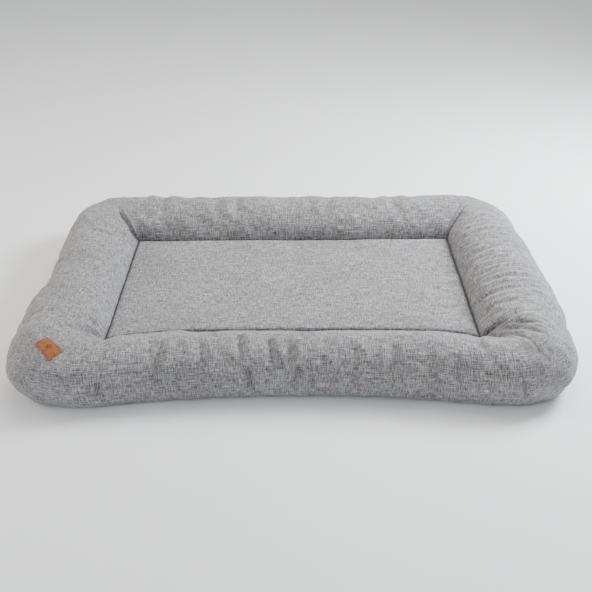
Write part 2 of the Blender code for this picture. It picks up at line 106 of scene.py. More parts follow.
def add_camera():
    """A camera that looks along +Y, turned by the yaw, tipped down and rolled."""
    level = Vector((math.sin(CAMERA_YAW), math.cos(CAMERA_YAW), 0.0))
    ahead = level * math.cos(CAMERA_PITCH) - Vector((0, 0, math.sin(CAMERA_PITCH)))
    right = ahead.cross(Vector((0, 0, 1))).normalized()
    up = right.cross(ahead)
    cos, sin = math.cos(CAMERA_ROLL), math.sin(CAMERA_ROLL)
    right, up = right * cos + up * sin, up * cos - right * sin
    data = bpy.data.cameras.new("camera")
    data.lens = CAMERA_LENS
    data.sensor_width = 36.0
    camera = bpy.data.objects.new("camera", data)
    columns = Matrix((right, up, -ahead)).transposed().to_4x4()
    camera.matrix_world = Matrix.Translation(CAMERA_PLACE) @ columns
    bpy.context.scene.collection.objects.link(camera)
    bpy.context.scene.camera = camera


add_camera()

# %% [markdown]
# ## Small helpers
# Cloth is never quite even, so several steps need a gentle random unevenness. A sum of a few
# plane waves with seeded directions is smooth, quick on whole arrays and the same on each run.

# %% Helpers for arrays and meshes


def smoothstep(x):
    """Rises smoothly from 0 to 1 as x does."""
    x = np.clip(x, 0.0, 1.0)
    return x * x * (3 - 2 * x)


def unevenness(points, length, seed, waves=14):
    """A smooth random value of about -1 to 1 at each point, which changes over this length."""
    draw = np.random.default_rng(seed)
    ways = draw.normal(size=(waves, points.shape[1]))
    ways *= (2 * math.pi / length) / np.linalg.norm(ways, axis=1)[:, None]
    ways *= draw.uniform(0.6, 1.4, size=(waves, 1))
    phases = draw.uniform(0, 2 * math.pi, size=waves)
    return np.sin(points @ ways.T + phases).sum(axis=1) / math.sqrt(waves * 0.8)


def make_mesh(name, points, faces, flat=None):
    """A mesh object. flat holds each point's place on the uncut cloth, kept as a UV map."""
    mesh = bpy.data.meshes.new(name)
    mesh.from_pydata([tuple(p) for p in points], [], [tuple(int(i) for i in f) for f in faces])
    mesh.update()
    if flat is not None:
        corners = np.empty(len(mesh.loops), np.int32)
        mesh.loops.foreach_get("vertex_index", corners)
        layer = mesh.uv_layers.new(name="cloth")
        layer.uv.foreach_set("vector", np.ascontiguousarray(flat[corners, :2], np.float32).ravel())
    obj = bpy.data.objects.new(name, mesh)
    bpy.context.scene.collection.objects.link(obj)
    mesh.shade_smooth()
    return obj


def get_points(mesh):
    points = np.empty(len(mesh.vertices) * 3, np.float64)
    mesh.vertices.foreach_get("co", points)
    return points.reshape(-1, 3)


def set_points(mesh, points):
    mesh.vertices.foreach_set("co", np.ascontiguousarray(points, np.float32).ravel())
    mesh.update()


def get_normals(mesh):
    normals = np.empty(len(mesh.vertices) * 3, np.float32)
    mesh.vertex_normals.foreach_get("vector", normals)
    return normals.reshape(-1, 3).astype(np.float64)


def grid_quads(columns, rows):
    """Quads of a grid whose points are numbered row by row."""
    first = (np.arange(rows)[:, None] * (columns + 1) + np.arange(columns)).ravel()
    return np.stack([first, first + 1, first + columns + 2, first + columns + 1], axis=1)


def grid_plan(low, high, columns, rows):
    """The flat points of a grid between two corners."""
    x, y = np.meshgrid(
        np.linspace(low[0], high[0], columns + 1), np.linspace(low[1], high[1], rows + 1)
    )
    return np.stack([x.ravel(), y.ravel()], axis=1)


def grid_walls(columns, rows):
    """Quads that join the rims of two such grids, one numbered after the other."""
    count = (columns + 1) * (rows + 1)
    rim = list(range(columns)) + [n * (columns + 1) + columns for n in range(rows)]
    rim += [rows * (columns + 1) + n for n in range(columns, 0, -1)]
    rim += [n * (columns + 1) for n in range(rows, 0, -1)]
    return [(a, b, b + count, a + count) for a, b in zip(rim, rim[1:] + rim[:1])]


def tube_quads(rings, around, start=0):
    """Quads between each ring of points and the next."""
    faces = []
    for ring in range(rings - 1):
        first = start + ring * around
        for n in range(around):
            a, b = first + n, first + (n + 1) % around
            faces.append((a, b, b + around, a + around))
    return faces


def tube_ends(rings, around):
    """The two faces that close a tube."""
    return [tuple(range(around))[::-1], tuple(range((rings - 1) * around, rings * around))]


def apply_modifiers(obj):
    """Replaces an object's mesh with what its modifiers make of it."""
    depsgraph = bpy.context.evaluated_depsgraph_get()
    mesh = bpy.data.meshes.new_from_object(obj.evaluated_get(depsgraph))
    obj.modifiers.clear()
    old = obj.data
    obj.data = mesh
    bpy.data.meshes.remove(old)
    return mesh


# %% [markdown]
# ## The ring's section
# Cut across, the stuffed ring is a soft rounded shape: it climbs from the inner seam over the
# crown, is widest at the zip's height, and is pressed flat where it meets the floor. Superellipse
# quarters give that with one number for the squareness of each. The front side has slumped: its
# crown is lower and lies further out, and at the two front corners the seam pulls the cloth down
# so that it climbs away from the panel at a low slope.

# %% Make the section by length
OUTER_SQUARENESS = 2.12
INNER_SQUARENESS = {"front": 1.75, "right": 2.0, "back": 2.05, "left": 2.0}
PINCHED_SQUARENESS = 1.22
PINCH_REACH = 0.085
CROWN_DROP = 0.0135
FRONT_LEAN = 0.085
LOWER_HALF_SHOWN = 0.725
SEAM_HEIGHT = PANEL_LOW.z - 0.0055
FLOOR_LIFT = 0.0016
UNDER_LAP = 0.014
SECTION_SAMPLES = 72


def ellipse_part(angle, squareness):
    """Cosine and sine of an angle, drawn out to a superellipse."""
    bend = 2 / squareness
    across, up = np.cos(angle), np.sin(angle)
    return np.sign(across) * np.abs(across) ** bend, np.sign(up) * np.abs(up) ** bend


def sections(width, crown, lean, squareness):
    """For each station: distance outwards and height, from the seam to the lap underneath."""
    drop = ZIP_HEIGHT / LOWER_HALF_SHOWN
    floor = math.asin(((ZIP_HEIGHT - FLOOR_LIFT) / drop) ** (OUTER_SQUARENESS / 2))
    top = width * (0.5 + lean)
    inner_angle = np.linspace(math.pi, math.pi / 2, SECTION_SAMPLES)[None, :]
    across, up = ellipse_part(inner_angle, squareness[:, None])
    inner_out = top[:, None] * (1 + across)
    inner_up = ZIP_HEIGHT + (crown[:, None] - ZIP_HEIGHT) * up
    outer_angle = np.linspace(math.pi / 2, -floor, SECTION_SAMPLES)[None, 1:]
    across, up = ellipse_part(outer_angle, OUTER_SQUARENESS)
    outer_out = top[:, None] + (width - top)[:, None] * across
    outer_up = ZIP_HEIGHT + np.where(up > 0, crown[:, None] - ZIP_HEIGHT, drop) * up
    first = np.zeros((len(width), 1))
    out = np.hstack([first, inner_out, outer_out, outer_out[:, -1:] - UNDER_LAP])
    height = np.hstack([first + SEAM_HEIGHT, inner_up, outer_up, first + FLOOR_LIFT])
    return out, height


def walk(out, height, share):
    """The point of each section that lies at this share of its length."""
    pieces = np.hypot(np.diff(out, axis=1), np.diff(height, axis=1))
    length = np.hstack([np.zeros((len(out), 1)), np.cumsum(pieces, axis=1)])
    wanted = share * length[:, -1]
    after = np.clip((length < wanted[:, None]).sum(axis=1), 1, length.shape[1] - 1)
    rows = np.arange(len(out))
    low, high = length[rows, after - 1], length[rows, after]
    part = np.clip((wanted - low) / np.maximum(high - low, 1e-9), 0, 1)
    return tuple(a[rows, after - 1] * (1 - part) + a[rows, after] * part for a in (out, height))


one = np.ones(1)
out, height = sections(RING_WIDTH * one, CROWN * one, 0 * one, 2 * one)
SECTION_LENGTH = float(np.hypot(np.diff(out), np.diff(height)).sum())
print("cloth across the ring:", round(SECTION_LENGTH, 4), "m")

# %% [markdown]
# ## The ring as a sheet of cloth
# The cover is laid out as the cloth is: a flat grid with the sleeping panel cut out of it. The
# straight sides roll over their pillows, and each corner's square of cloth is drawn round the
# outline. The grid's lines stay the threads of the weave, so the weave needs no unwrapping, and
# the cloth bunches at the corners as it does on the real bed. The full front side leans on its
# seam and pushes it in over the pad, so the pieces behind it are pushed in too.

# %% Lay out the cloth and roll it over the ring
STEP = 0.008
COLUMNS = round(2 * INNER_X / STEP)
ROWS = round(2 * INNER_Y / STEP)
ACROSS = round(SECTION_LENGTH / STEP)
CORNER_SQUARENESS = {
    "front left": 3.25, "front right": 3.25, "back right": 2.9, "back left": 3.1
}
CORNER_LENGTH = 0.2
# a hand-stuffed outline is never even: place round the ring from the front left inner corner,
# how far the wall is drawn in there, and how far along the ring that reaches
OUTLINE_DENTS = (
    (0.860, 0.004, 0.07),
    (1.050, -0.006, 0.10),
    (1.410, 0.009, 0.11),
    (1.490, 0.008, 0.07),
    (2.440, 0.006, 0.07),
    (2.540, 0.004, 0.10),
    (2.890, -0.006, 0.06),
    (3.100, 0.004, 0.06),
)
BACK_RAMP = 0.115
FRONT_CORNER_WAIST = 0.009
# the full front side pushes its seam in over the pad, most in the middle of its length
SEAM_BOW = 0.034
BOW_FROM = 0.100
BOW_ROWS = 14
PAD_GIVES = 0.12


def waist(side, distance, length):
    """How far a side is pulled in, at each distance from the side's start."""
    ramp = BACK_RAMP if side == "back" else length / 2
    nearest = np.minimum(np.minimum(distance, length - distance), ramp)
    if side == "front":
        spare = WAISTS[side] - FRONT_CORNER_WAIST
        return FRONT_CORNER_WAIST + spare * (1 - (1 - nearest / ramp) ** 2.2)
    return WAISTS[side] * smoothstep(nearest / ramp)


def place_round(x, y, turn):
    """How far round the ring a station is, counter-clockwise from the front left inner corner."""
    long_side, short_side = 2 * INNER_X + CORNER_LENGTH, 2 * INNER_Y + CORNER_LENGTH
    corner_part = CORNER_LENGTH * turn
    front = np.where(x < 0, x + INNER_X - CORNER_LENGTH + corner_part, long_side - corner_part)
    front = np.where(turn == 1, x + INNER_X, front)
    back = np.where(x > 0, long_side + short_side - CORNER_LENGTH + corner_part, 0.0)
    back = np.where(x < 0, 2 * long_side + short_side - corner_part, back)
    back = np.where(turn == 1, long_side + short_side + INNER_X - x, back)
    side = np.where(
        x > 0, long_side + y + INNER_Y, 2 * long_side + short_side + INNER_Y - y
    )
    at_front = y < 0
    return np.where(turn == 0, side, np.where(at_front, front, back))


def outline_dents(place):
    """How far the outer wall is drawn in at each place round the ring."""
    round_length = 4 * (INNER_X + INNER_Y + CORNER_LENGTH)
    drawn = np.zeros(len(place))
    for at, depth, reach in OUTLINE_DENTS:
        away = (place - at + round_length / 2) % round_length - round_length / 2
        drawn += depth * np.exp(-((away / reach) ** 2))
    return drawn


def ring_grid():
    """Grid numbers of the ring's points: columns and rows counted from the panel's corner."""
    i, j = np.meshgrid(
        np.arange(-ACROSS, COLUMNS + ACROSS + 1), np.arange(-ACROSS, ROWS + ACROSS + 1)
    )
    i, j = i.ravel(), j.ravel()
    outside = (i <= 0) | (i >= COLUMNS) | (j <= 0) | (j >= ROWS)
    return i[outside], j[outside]


def place_on_ring(i, j):
    """The points of the rolled sheet, their places on the flat cloth, and their rows."""
    left, right = np.maximum(-i, 0), np.maximum(i - COLUMNS, 0)
    front, back = np.maximum(-j, 0), np.maximum(j - ROWS, 0)
    over_x, over_y = np.maximum(left, right), np.maximum(front, back)
    row = np.maximum(over_x, over_y)
    x = (np.clip(i, 0, COLUMNS) / COLUMNS * 2 - 1) * INNER_X
    y = (np.clip(j, 0, ROWS) / ROWS * 2 - 1) * INNER_Y
    # the turn runs from the X side of a corner, 0, to its Y side, 1
    least = np.minimum(over_x, over_y) / np.maximum(row, 1)
    turn = np.where(over_y <= over_x, least / 2, 1 - least / 2)
    turn = np.where(over_y == 0, 0.0, np.where(over_x == 0, 1.0, turn))
    turn[(row == 0) & ((j == 0) | (j == ROWS))] = 1.0
    corner = {"front": y < 0, "back": y > 0, "left": x < 0, "right": x > 0}
    bend = np.zeros(len(i))
    for name, value in CORNER_SQUARENESS.items():
        end, hand = name.split()
        bend += (corner[end] & corner[hand]) * 2 / value
    bend[bend == 0] = 1.0
    way_x = np.sign(x) * np.cos(turn * math.pi / 2) ** bend
    way_y = np.sign(y) * np.sin(turn * math.pi / 2) ** bend
    length = np.hypot(way_x, way_y)
    width = RING_WIDTH * length
    width -= FRONT_CORNER_WAIST * np.clip((turn - 0.4) / 0.6, 0, 1) ** 2 * (y < 0)
    on_y_side, on_x_side = over_x == 0, over_y == 0
    squareness = np.zeros(len(i))
    for side, where, at, half, part in (
        ("front", on_y_side & (y < 0), x, INNER_X, smoothstep(turn) * (y < 0)),
        ("back", on_y_side & (y > 0), x, INNER_X, smoothstep(turn) * (y > 0)),
        ("right", on_x_side & (x > 0), y, INNER_Y, smoothstep(1 - turn) * (x > 0)),
        ("left", on_x_side & (x < 0), y, INNER_Y, smoothstep(1 - turn) * (x < 0)),
    ):
        width = np.where(where, RING_WIDTH - waist(side, at + half, 2 * half), width)
        squareness += part * INNER_SQUARENESS[side]
    width -= outline_dents(place_round(x, y, turn))
    front_part = smoothstep((turn - 0.35) / 0.65) * (y < 0)
    crown = CROWN - CROWN_DROP * front_part
    lean = FRONT_LEAN * front_part
    from_corner = np.hypot(INNER_X - np.abs(x), INNER_Y + y)
    pinch = (1 - smoothstep(from_corner / PINCH_REACH)) * (y < 0)
    pinch *= smoothstep(turn / 0.5)
    squareness += (PINCHED_SQUARENESS - squareness) * pinch
    out, height = walk(*sections(width, crown, lean, squareness), row / ACROSS)
    points = np.column_stack([x + way_x / length * out, y + way_y / length * out, height])
    flat = np.stack([(i / COLUMNS * 2 - 1) * INNER_X, (j / ROWS * 2 - 1) * INNER_Y], axis=1)
    return points, flat, row


def bow_share(points):
    """How much of the front seam's push reaches each place along it."""
    return 1 - np.abs(np.clip(points[:, 0] / INNER_X, -1, 1)) ** 6


def bow_ring(points, flat, row):
    """Pushes the ring's inner face in at the front: not at all high up, and fully at the seam."""
    inner = (flat[:, 1] <= -INNER_Y + 1e-6) & (np.abs(flat[:, 0]) <= INNER_X + 1e-6)
    low = np.clip((BOW_FROM - points[:, 2]) / (BOW_FROM - PANEL_HIGH.z), 0, 1) ** 3
    points[:, 1] += SEAM_BOW * bow_share(points) * low * (inner & (row < BOW_ROWS))
    return points


def bow_pad(obj):
    """Pushes in the panel, the pad or the divider behind the front seam, less towards the floor."""
    points = get_points(obj.data)
    near = np.clip(1 - (points[:, 1] + INNER_Y) / PAD_GIVES, 0, 1)
    high = np.clip(points[:, 2] / SEAM_HEIGHT, 0, 1)
    points[:, 1] += SEAM_BOW * bow_share(points) * near * high
    set_points(obj.data, points)


def grid_faces(i, j):
    """Quads between neighbouring grid points."""
    number = {(a, b): n for n, (a, b) in enumerate(zip(i.tolist(), j.tolist()))}
    faces = []
    for (a, b), n in number.items():
        over_panel = 0 <= a < COLUMNS and 0 <= b < ROWS
        if not over_panel and (a + 1, b + 1) in number and (a + 1, b) in number:
            if (a, b + 1) in number:
                faces.append((n, number[a + 1, b], number[a + 1, b + 1], number[a, b + 1]))
    return faces


GRID_I, GRID_J = ring_grid()
RING_POINTS, RING_FLAT, RING_ROW = place_on_ring(GRID_I, GRID_J)
RING_POINTS = bow_ring(RING_POINTS, RING_FLAT, RING_ROW)
RING_FACES = grid_faces(GRID_I, GRID_J)
print("sheet of", len(RING_POINTS), "points and", len(RING_FACES), "faces")

# %% [markdown]
# ## Filling the ring
# The real cover is sewn a little long and stuffed until it is full, so the spare cloth gathers
# along the inner seam and puckers over the crown. Cloth simulation does the same: the resting
# lengths are longer than the sheet it starts from, a pressure stands for the fibre, and the seam,
# the lap under the ring and the zip are held. Gravity stays off, because the filling carries the
# cloth. Only the folds are kept. The slow part of each move is taken away again, so that the ring
# keeps its measured width and height.

# %% Simulate the stuffed cover
SPARE_CLOTH = 0.05
SPARE_AT_FRONT = 0.05
PRESSURE = 4.0
TENSION = 15.0
BENDING = 0.3
FRAMES = 20
START_WAVE = 0.0006
SMOOTHING_ROUNDS = 60
SLOW_TAKEN = 0.85
FOLD_CAP = 0.009
ZIP_HELD = (0.27, 0.017)


def neighbour_mean(values, edges, rounds):
    """Averages values along a mesh's edges, this many times."""
    count = np.bincount(edges.ravel(), minlength=len(values))[:, None] + 1.0
    for _ in range(rounds):
        total = values.copy()
        for axis in range(values.shape[1]):
            for a, b in ((0, 1), (1, 0)):
                total[:, axis] += np.bincount(edges[:, a], values[edges[:, b], axis], len(values))
        values = total / count
    return values


def get_edges(mesh):
    edges = np.empty(len(mesh.edges) * 2, np.int32)
    mesh.edges.foreach_get("vertices", edges)
    return edges.reshape(-1, 2)


def zip_area(points, half_length, half_height):
    """True where the rear wall holds the zip."""
    rear = (points[:, 1] > INNER_Y + RING_WIDTH / 2) & (np.abs(points[:, 0]) < half_length)
    return rear & (np.abs(points[:, 2] - ZIP_HEIGHT) < half_height)


def stuff(obj, points, held):
    """Runs the cloth simulation on the sheet, and gives the points where it settles."""
    start = points + get_normals(obj.data) * (START_WAVE * unevenness(points, 0.05, 3))[:, None]
    set_points(obj.data, start)
    obj.shape_key_add(name="start")
    rest = obj.shape_key_add(name="rest")
    longer = points.copy()
    longer[:, :2] *= 1 + SPARE_CLOTH
    front = smoothstep((-points[:, 1] - INNER_Y + 0.04) / 0.08)
    longer[:, 0] += front * SPARE_AT_FRONT * 0.12 * np.tanh((points[:, 0] + 0.03) / 0.12)
    rest.data.foreach_set("co", np.ascontiguousarray(longer, np.float32).ravel())
    group = obj.vertex_groups.new(name="held")
    group.add([int(n) for n in np.nonzero(held)[0]], 1.0, "REPLACE")
    cloth = obj.modifiers.new("filling", "CLOTH")
    settings = cloth.settings
    settings.quality = 5
    settings.tension_stiffness = TENSION
    settings.compression_stiffness = TENSION
    settings.shear_stiffness = TENSION / 3
    settings.bending_stiffness = BENDING
    settings.use_pressure = True
    settings.uniform_pressure_force = PRESSURE
    settings.effector_weights.gravity = 0
    settings.vertex_group_mass = "held"
    settings.rest_shape_key = rest
    cloth.point_cache.frame_start = 1
    cloth.point_cache.frame_end = FRAMES
    for frame_number in range(1, FRAMES + 1):
        bpy.context.scene.frame_set(frame_number)
    settled = obj.evaluated_get(bpy.context.evaluated_depsgraph_get())
    settled = get_points(settled.data)
    obj.modifiers.remove(cloth)
    obj.shape_key_clear()
    obj.vertex_groups.clear()
    bpy.context.scene.frame_set(1)
    return settled


cover = make_mesh("woven_bolster_cover", RING_POINTS, RING_FACES, RING_FLAT)
held = (RING_ROW == 0) | (RING_ROW >= ACROSS - 1) | zip_area(RING_POINTS, *ZIP_HELD)
settled = stuff(cover, RING_POINTS, held)
folds = settled - RING_POINTS
edges = get_edges(cover.data)
slow = neighbour_mean(folds, edges, SMOOTHING_ROUNDS)
folds -= SLOW_TAKEN * slow
size = np.linalg.norm(folds, axis=1, keepdims=True) + 1e-9
folds *= FOLD_CAP * np.tanh(size / FOLD_CAP) / size
folds[held] = 0.0
# the inner face of the front side stays as it was laid, so that its seam stays open
folds[(RING_FLAT[:, 1] < -INNER_Y) & (RING_ROW < BOW_ROWS - 2)] *= 0.2
print("largest fold", round(float(np.linalg.norm(folds, axis=1).max()), 4), "m")
stuffed = RING_POINTS + folds
stuffed[:, 2] = np.maximum(stuffed[:, 2], FLOOR_LIFT)
set_points(cover.data, stuffed)
subdivide = cover.modifiers.new("smooth", "SUBSURF")
subdivide.levels = subdivide.render_levels = 1
subdivide.boundary_smooth = "PRESERVE_CORNERS"
apply_modifiers(cover)
print("cover of", len(cover.data.vertices), "points")

# %% [markdown]
# ## Creases
# A seam that is pulled tight at an inner corner sends creases out over the cloth like rays, and a
# hand-filled ring has gathers where the fibre is thin. A tailor would mark these on the flat
# cloth with chalk. Here each one is a smooth line on the flat cloth too: the cloth sinks along
# the line, and beside it the filling pushes it up again.

# %% Draw creases on the flat cloth


def smooth_path(points, steps=8):
    """A curve through these points, cut into short straight pieces."""
    p = np.array([points[0], *points, points[-1]], float)
    t = np.linspace(0, 1, steps, endpoint=False)[:, None]
    parts = []
    for a, b, c, d in zip(p[:-3], p[1:-2], p[2:-1], p[3:]):
        bend = (2 * a - 5 * b + 4 * c - d) * t**2 + (3 * b - a - 3 * c + d) * t**3
        parts.append(b + 0.5 * ((c - a) * t + bend))
    return np.vstack([*parts, p[-1:]])


def beside(flat, path):
    """Distance of each point to the left of a path, less than 0 to its right, and how far along."""
    start, step = path[:-1], np.diff(path, axis=0)
    lengths = np.linalg.norm(step, axis=1)
    offset = flat[:, None, :] - start[None]
    part = np.clip((offset * step).sum(axis=2) / lengths**2, 0, 1)
    distance = np.linalg.norm(offset - part[..., None] * step, axis=2)
    near = distance.argmin(axis=1)
    rows = np.arange(len(flat))
    turn = step[near, 0] * offset[rows, near, 1] - step[near, 1] * offset[rows, near, 0]
    run = np.concatenate([[0], np.cumsum(lengths)])[near] + part[rows, near] * lengths[near]
    return np.sign(turn) * distance[rows, near], run / lengths.sum()


def crease(flat, depth, width, puff, side, *points):
    """How far each point of the cloth is lifted by one crease. Starts full and fades out."""
    path = smooth_path(points)
    lift = np.zeros(len(flat))
    reach = 7 * width
    near = ((flat > path.min(axis=0) - reach) & (flat < path.max(axis=0) + reach)).all(axis=1)
    away, along = beside(flat[near], path)
    fade = smoothstep((1 - along) / 0.5) * smoothstep(0.25 + along / 0.2)
    sunk = np.exp(0.4 - np.sqrt((away / width) ** 2 + 0.16))
    hump = np.exp(-(((np.abs(away) - 2.3 * width) / (1.4 * width)) ** 2))
    hump *= np.where(side * away >= 0, 1.0, 0.25)
    lift[near] = fade * (puff * hump - depth * sunk)
    return lift


# depth, width and puff of a crease in metres, the side that is puffed up (1 left, -1 right,
# 0 both), and its way over the flat cloth
CORNER_CREASES = (
    (0.0110, 0.0050, 0.0035, 1, (0.378, 0.222), (0.411, 0.250), (0.445, 0.292), (0.480, 0.356)),
    (0.0120, 0.0070, 0.0030, -1, (-0.378, 0.221), (-0.415, 0.222), (-0.448, 0.270), (-0.490, 0.350)),
    (0.0095, 0.0065, 0.0030, 1, (0.378, -0.221), (0.412, -0.231), (0.445, -0.231), (0.490, -0.218)),
    (0.0030, 0.0060, 0.0020, 1, (0.384, -0.172), (0.435, -0.172), (0.490, -0.176), (0.575, -0.146)),
    (0.0025, 0.0055, 0.0018, 0, (0.450, -0.222), (0.490, -0.222), (0.525, -0.236), (0.570, -0.236)),
    (0.0035, 0.0055, 0.0024, -1, (0.380, -0.226), (0.436, -0.258), (0.484, -0.318), (0.555, -0.372)),
    (0.0028, 0.0050, 0.0018, -1, (0.382, -0.222), (0.440, -0.246), (0.500, -0.282), (0.560, -0.300)),
    (0.0030, 0.0050, 0.0016, 0, (0.380, -0.232), (0.405, -0.280), (0.424, -0.326), (0.432, -0.360)),
    (0.0024, 0.0055, 0.0014, 0, (0.392, -0.250), (0.432, -0.306), (0.466, -0.368), (0.480, -0.420)),
    (0.0045, 0.0065, 0.0026, 1, (0.368, -0.236), (0.345, -0.330), (0.353, -0.374), (0.374, -0.425)),
    (0.0025, 0.0045, 0.0020, 0, (-0.380, -0.236), (-0.380, -0.310), (-0.402, -0.352), (-0.426, -0.384)),
    (0.0045, 0.0060, 0.0026, 0, (-0.376, -0.240), (-0.373, -0.330), (-0.382, -0.376), (-0.412, -0.412)),
    (0.0045, 0.0090, 0.0020, 0, (-0.368, -0.240), (-0.354, -0.330), (-0.360, -0.384), (-0.380, -0.436)),
)
GATHERS = (
    (0.0045, 0.0070, 0.0024, 1, (-0.103, -0.320), (-0.096, -0.380), (-0.086, -0.425)),
    (0.0060, 0.0070, 0.0026, 0, (-0.082, -0.420), (-0.074, -0.456), (-0.064, -0.510)),
    (0.0042, 0.0065, 0.0022, 1, (-0.044, -0.340), (-0.040, -0.385), (-0.034, -0.436)),
    (0.0030, 0.0060, 0.0016, 1, (-0.004, -0.366), (-0.004, -0.396), (-0.002, -0.430)),
    (0.0050, 0.0065, 0.0024, 1, (0.020, -0.416), (0.012, -0.452), (0.006, -0.506)),
    (0.0036, 0.0060, 0.0018, 1, (0.038, -0.436), (0.040, -0.460), (0.042, -0.490)),
    (0.0030, 0.0060, 0.0016, 1, (0.057, -0.396), (0.059, -0.424), (0.058, -0.452)),
    (0.0024, 0.0070, 0.0014, 1, (0.115, -0.370), (0.122, -0.420), (0.118, -0.470)),
    (0.0022, 0.0080, 0.0012, 0, (0.190, -0.360), (0.186, -0.420), (0.192, -0.480)),
    (0.0042, 0.0065, 0.0020, 1, (0.262, -0.405), (0.266, -0.450), (0.270, -0.510)),
    (0.0034, 0.0060, 0.0018, 1, (0.305, -0.405), (0.309, -0.450), (0.315, -0.500)),
    (0.0040, 0.0065, 0.0018, 0, (0.412, -0.440), (0.420, -0.470), (0.430, -0.505)),
    (0.0040, 0.0070, 0.0022, 1, (-0.245, -0.350), (-0.250, -0.414), (-0.236, -0.490)),
    (0.0030, 0.0075, 0.0018, 1, (-0.174, -0.350), (-0.163, -0.430), (-0.156, -0.495)),
    (0.0024, 0.0060, 0.0014, 1, (-0.266, -0.340), (-0.267, -0.380), (-0.265, -0.415)),
    (0.0022, 0.0060, 0.0012, 1, (-0.291, -0.330), (-0.298, -0.360), (-0.300, -0.385)),
    (0.0038, 0.0060, 0.0016, 0, (-0.354, -0.440), (-0.351, -0.470), (-0.346, -0.505)),
    (0.0024, 0.0100, 0.0014, 0, (-0.326, 0.400), (-0.320, 0.330), (-0.314, 0.250)),
    (0.0022, 0.0110, 0.0012, 0, (-0.190, 0.380), (-0.186, 0.320), (-0.181, 0.264)),
    (0.0020, 0.0090, 0.0012, 0, (-0.140, 0.370), (-0.141, 0.330), (-0.140, 0.279)),
    (0.0018, 0.0110, 0.0012, 0, (0.080, 0.390), (0.084, 0.330), (0.080, 0.270)),
    (0.0018, 0.0110, 0.0012, 0, (0.250, 0.390), (0.246, 0.330), (0.252, 0.270)),
)
GATHER_STRENGTH = 2.1
ARC_SPACING = 0.0225
ARC_SEED = 11
PUCKER_SEED = 29
LUMPS = 0.0011
SMALL_LUMPS = 0.0005
HELD_FADE = 0.012


def arcs_on_right(draw):
    """The fine ripples over the crown of the right side, where the cover is a little long."""
    for n in range(17):
        y = -0.150 + ARC_SPACING * n + draw.uniform(-0.005, 0.005)
        start, end = 0.435 + draw.uniform(-0.02, 0.02), 0.585 + draw.uniform(-0.02, 0.02)
        depth = draw.uniform(0.0016, 0.0034) * (1.25 - 0.03 * n)
        lean = draw.uniform(-0.006, 0.008)
        middle = ((start + end) / 2, y - 0.006)
        yield depth, 0.0055, 0.4 * depth, 0, (start, y), middle, (end, y + lean)


def puckers_outside(draw):
    """Small gathers low on the outer walls, where the cover is sewn to the base."""
    walls = ((-1, True, 0.36), (1, True, 0.36), (-1, False, 0.2), (1, False, 0.2))
    for sign, along_x, half in walls:
        for n in range(11 if along_x else 7):
            at = draw.uniform(-half, half)
            reach = 0.5 * SECTION_LENGTH + draw.uniform(0.0, 0.3) * SECTION_LENGTH
            size = draw.uniform(0.05, 0.09)
            depth = draw.uniform(0.0014, 0.0034)
            lean = draw.uniform(-0.01, 0.01)
            inner = INNER_Y if along_x else INNER_X
            ends = [(at, sign * (inner + reach)), (at + lean, sign * (inner + reach + size))]
            if not along_x:
                ends = [end[::-1] for end in ends]
            middle = tuple((a + b) / 2 for a, b in zip(*ends))
            yield depth, 0.0065, 0.5 * depth, 0, ends[0], middle, ends[1]


def get_flat(mesh):
    """Each point's place on the flat cloth, read back from the UV map."""
    corners = np.empty(len(mesh.loops), np.int32)
    mesh.loops.foreach_get("vertex_index", corners)
    uv = np.empty(len(mesh.loops) * 2, np.float32)
    mesh.uv_layers["cloth"].uv.foreach_get("vector", uv)
    flat = np.empty((len(mesh.vertices), 2))
    flat[corners] = uv.reshape(-1, 2)
    return flat


def crease_cover(mesh):
    """Presses all creases and a little unevenness into the cover."""
    flat, points = get_flat(mesh), get_points(mesh)
    lift = np.zeros(len(points))
    lines = list(CORNER_CREASES)
    lines += [(GATHER_STRENGTH * d, w, GATHER_STRENGTH * p, *rest) for d, w, p, *rest in GATHERS]
    lines += [*arcs_on_right(np.random.default_rng(ARC_SEED))]
    lines += [*puckers_outside(np.random.default_rng(PUCKER_SEED))]
    for line in lines:
        lift += crease(flat, *line)
    lift += LUMPS * unevenness(points, 0.085, 7) + SMALL_LUMPS * unevenness(points, 0.030, 8)
    # the cloth is held at the seam, under the ring and round the zip
    free = smoothstep((points[:, 2] - FLOOR_LIFT) / HELD_FADE)
    rear = points[:, 1] - INNER_Y - RING_WIDTH / 2
    over_x = np.abs(points[:, 0]) - ZIP_HELD[0]
    over_z = np.abs(points[:, 2] - ZIP_HEIGHT) - ZIP_HELD[1]
    near_zip = smoothstep(np.maximum(over_x, over_z) / HELD_FADE)
    free *= np.where(rear > 0, near_zip, 1.0)
    seam = np.maximum(np.abs(flat[:, 0]) - INNER_X, np.abs(flat[:, 1]) - INNER_Y)
    free *= smoothstep(0.15 + seam / 0.010)
    normals = neighbour_mean(get_normals(mesh), get_edges(mesh), 6)
    normals /= np.linalg.norm(normals, axis=1, keepdims=True)
    points += normals * (free * lift)[:, None]
    points[:, 2] = np.maximum(points[:, 2], FLOOR_LIFT)
    set_points(mesh, points)
    return len(lines), float(lift.min()), float(lift.max())


print("creases, deepest, highest:", crease_cover(cover.data))

# %% [markdown]
# ## The opening for the zip
# The rear wall has a long window with turned-in edges, and the zip is sewn in behind it. The
# faces of the window are taken out, its rim is straightened, and a narrow lip is drawn inwards,
# which gives the cut edge the thickness of folded cloth.

# %% Cut the window
WINDOW_HALF_LENGTH = CHAIN_HIGH.x + 0.0125
WINDOW_HALF_HEIGHT = 0.009
LIP_DEPTH = 0.0016
LIP_START = 0.0003
RIM_REACH = 0.0022


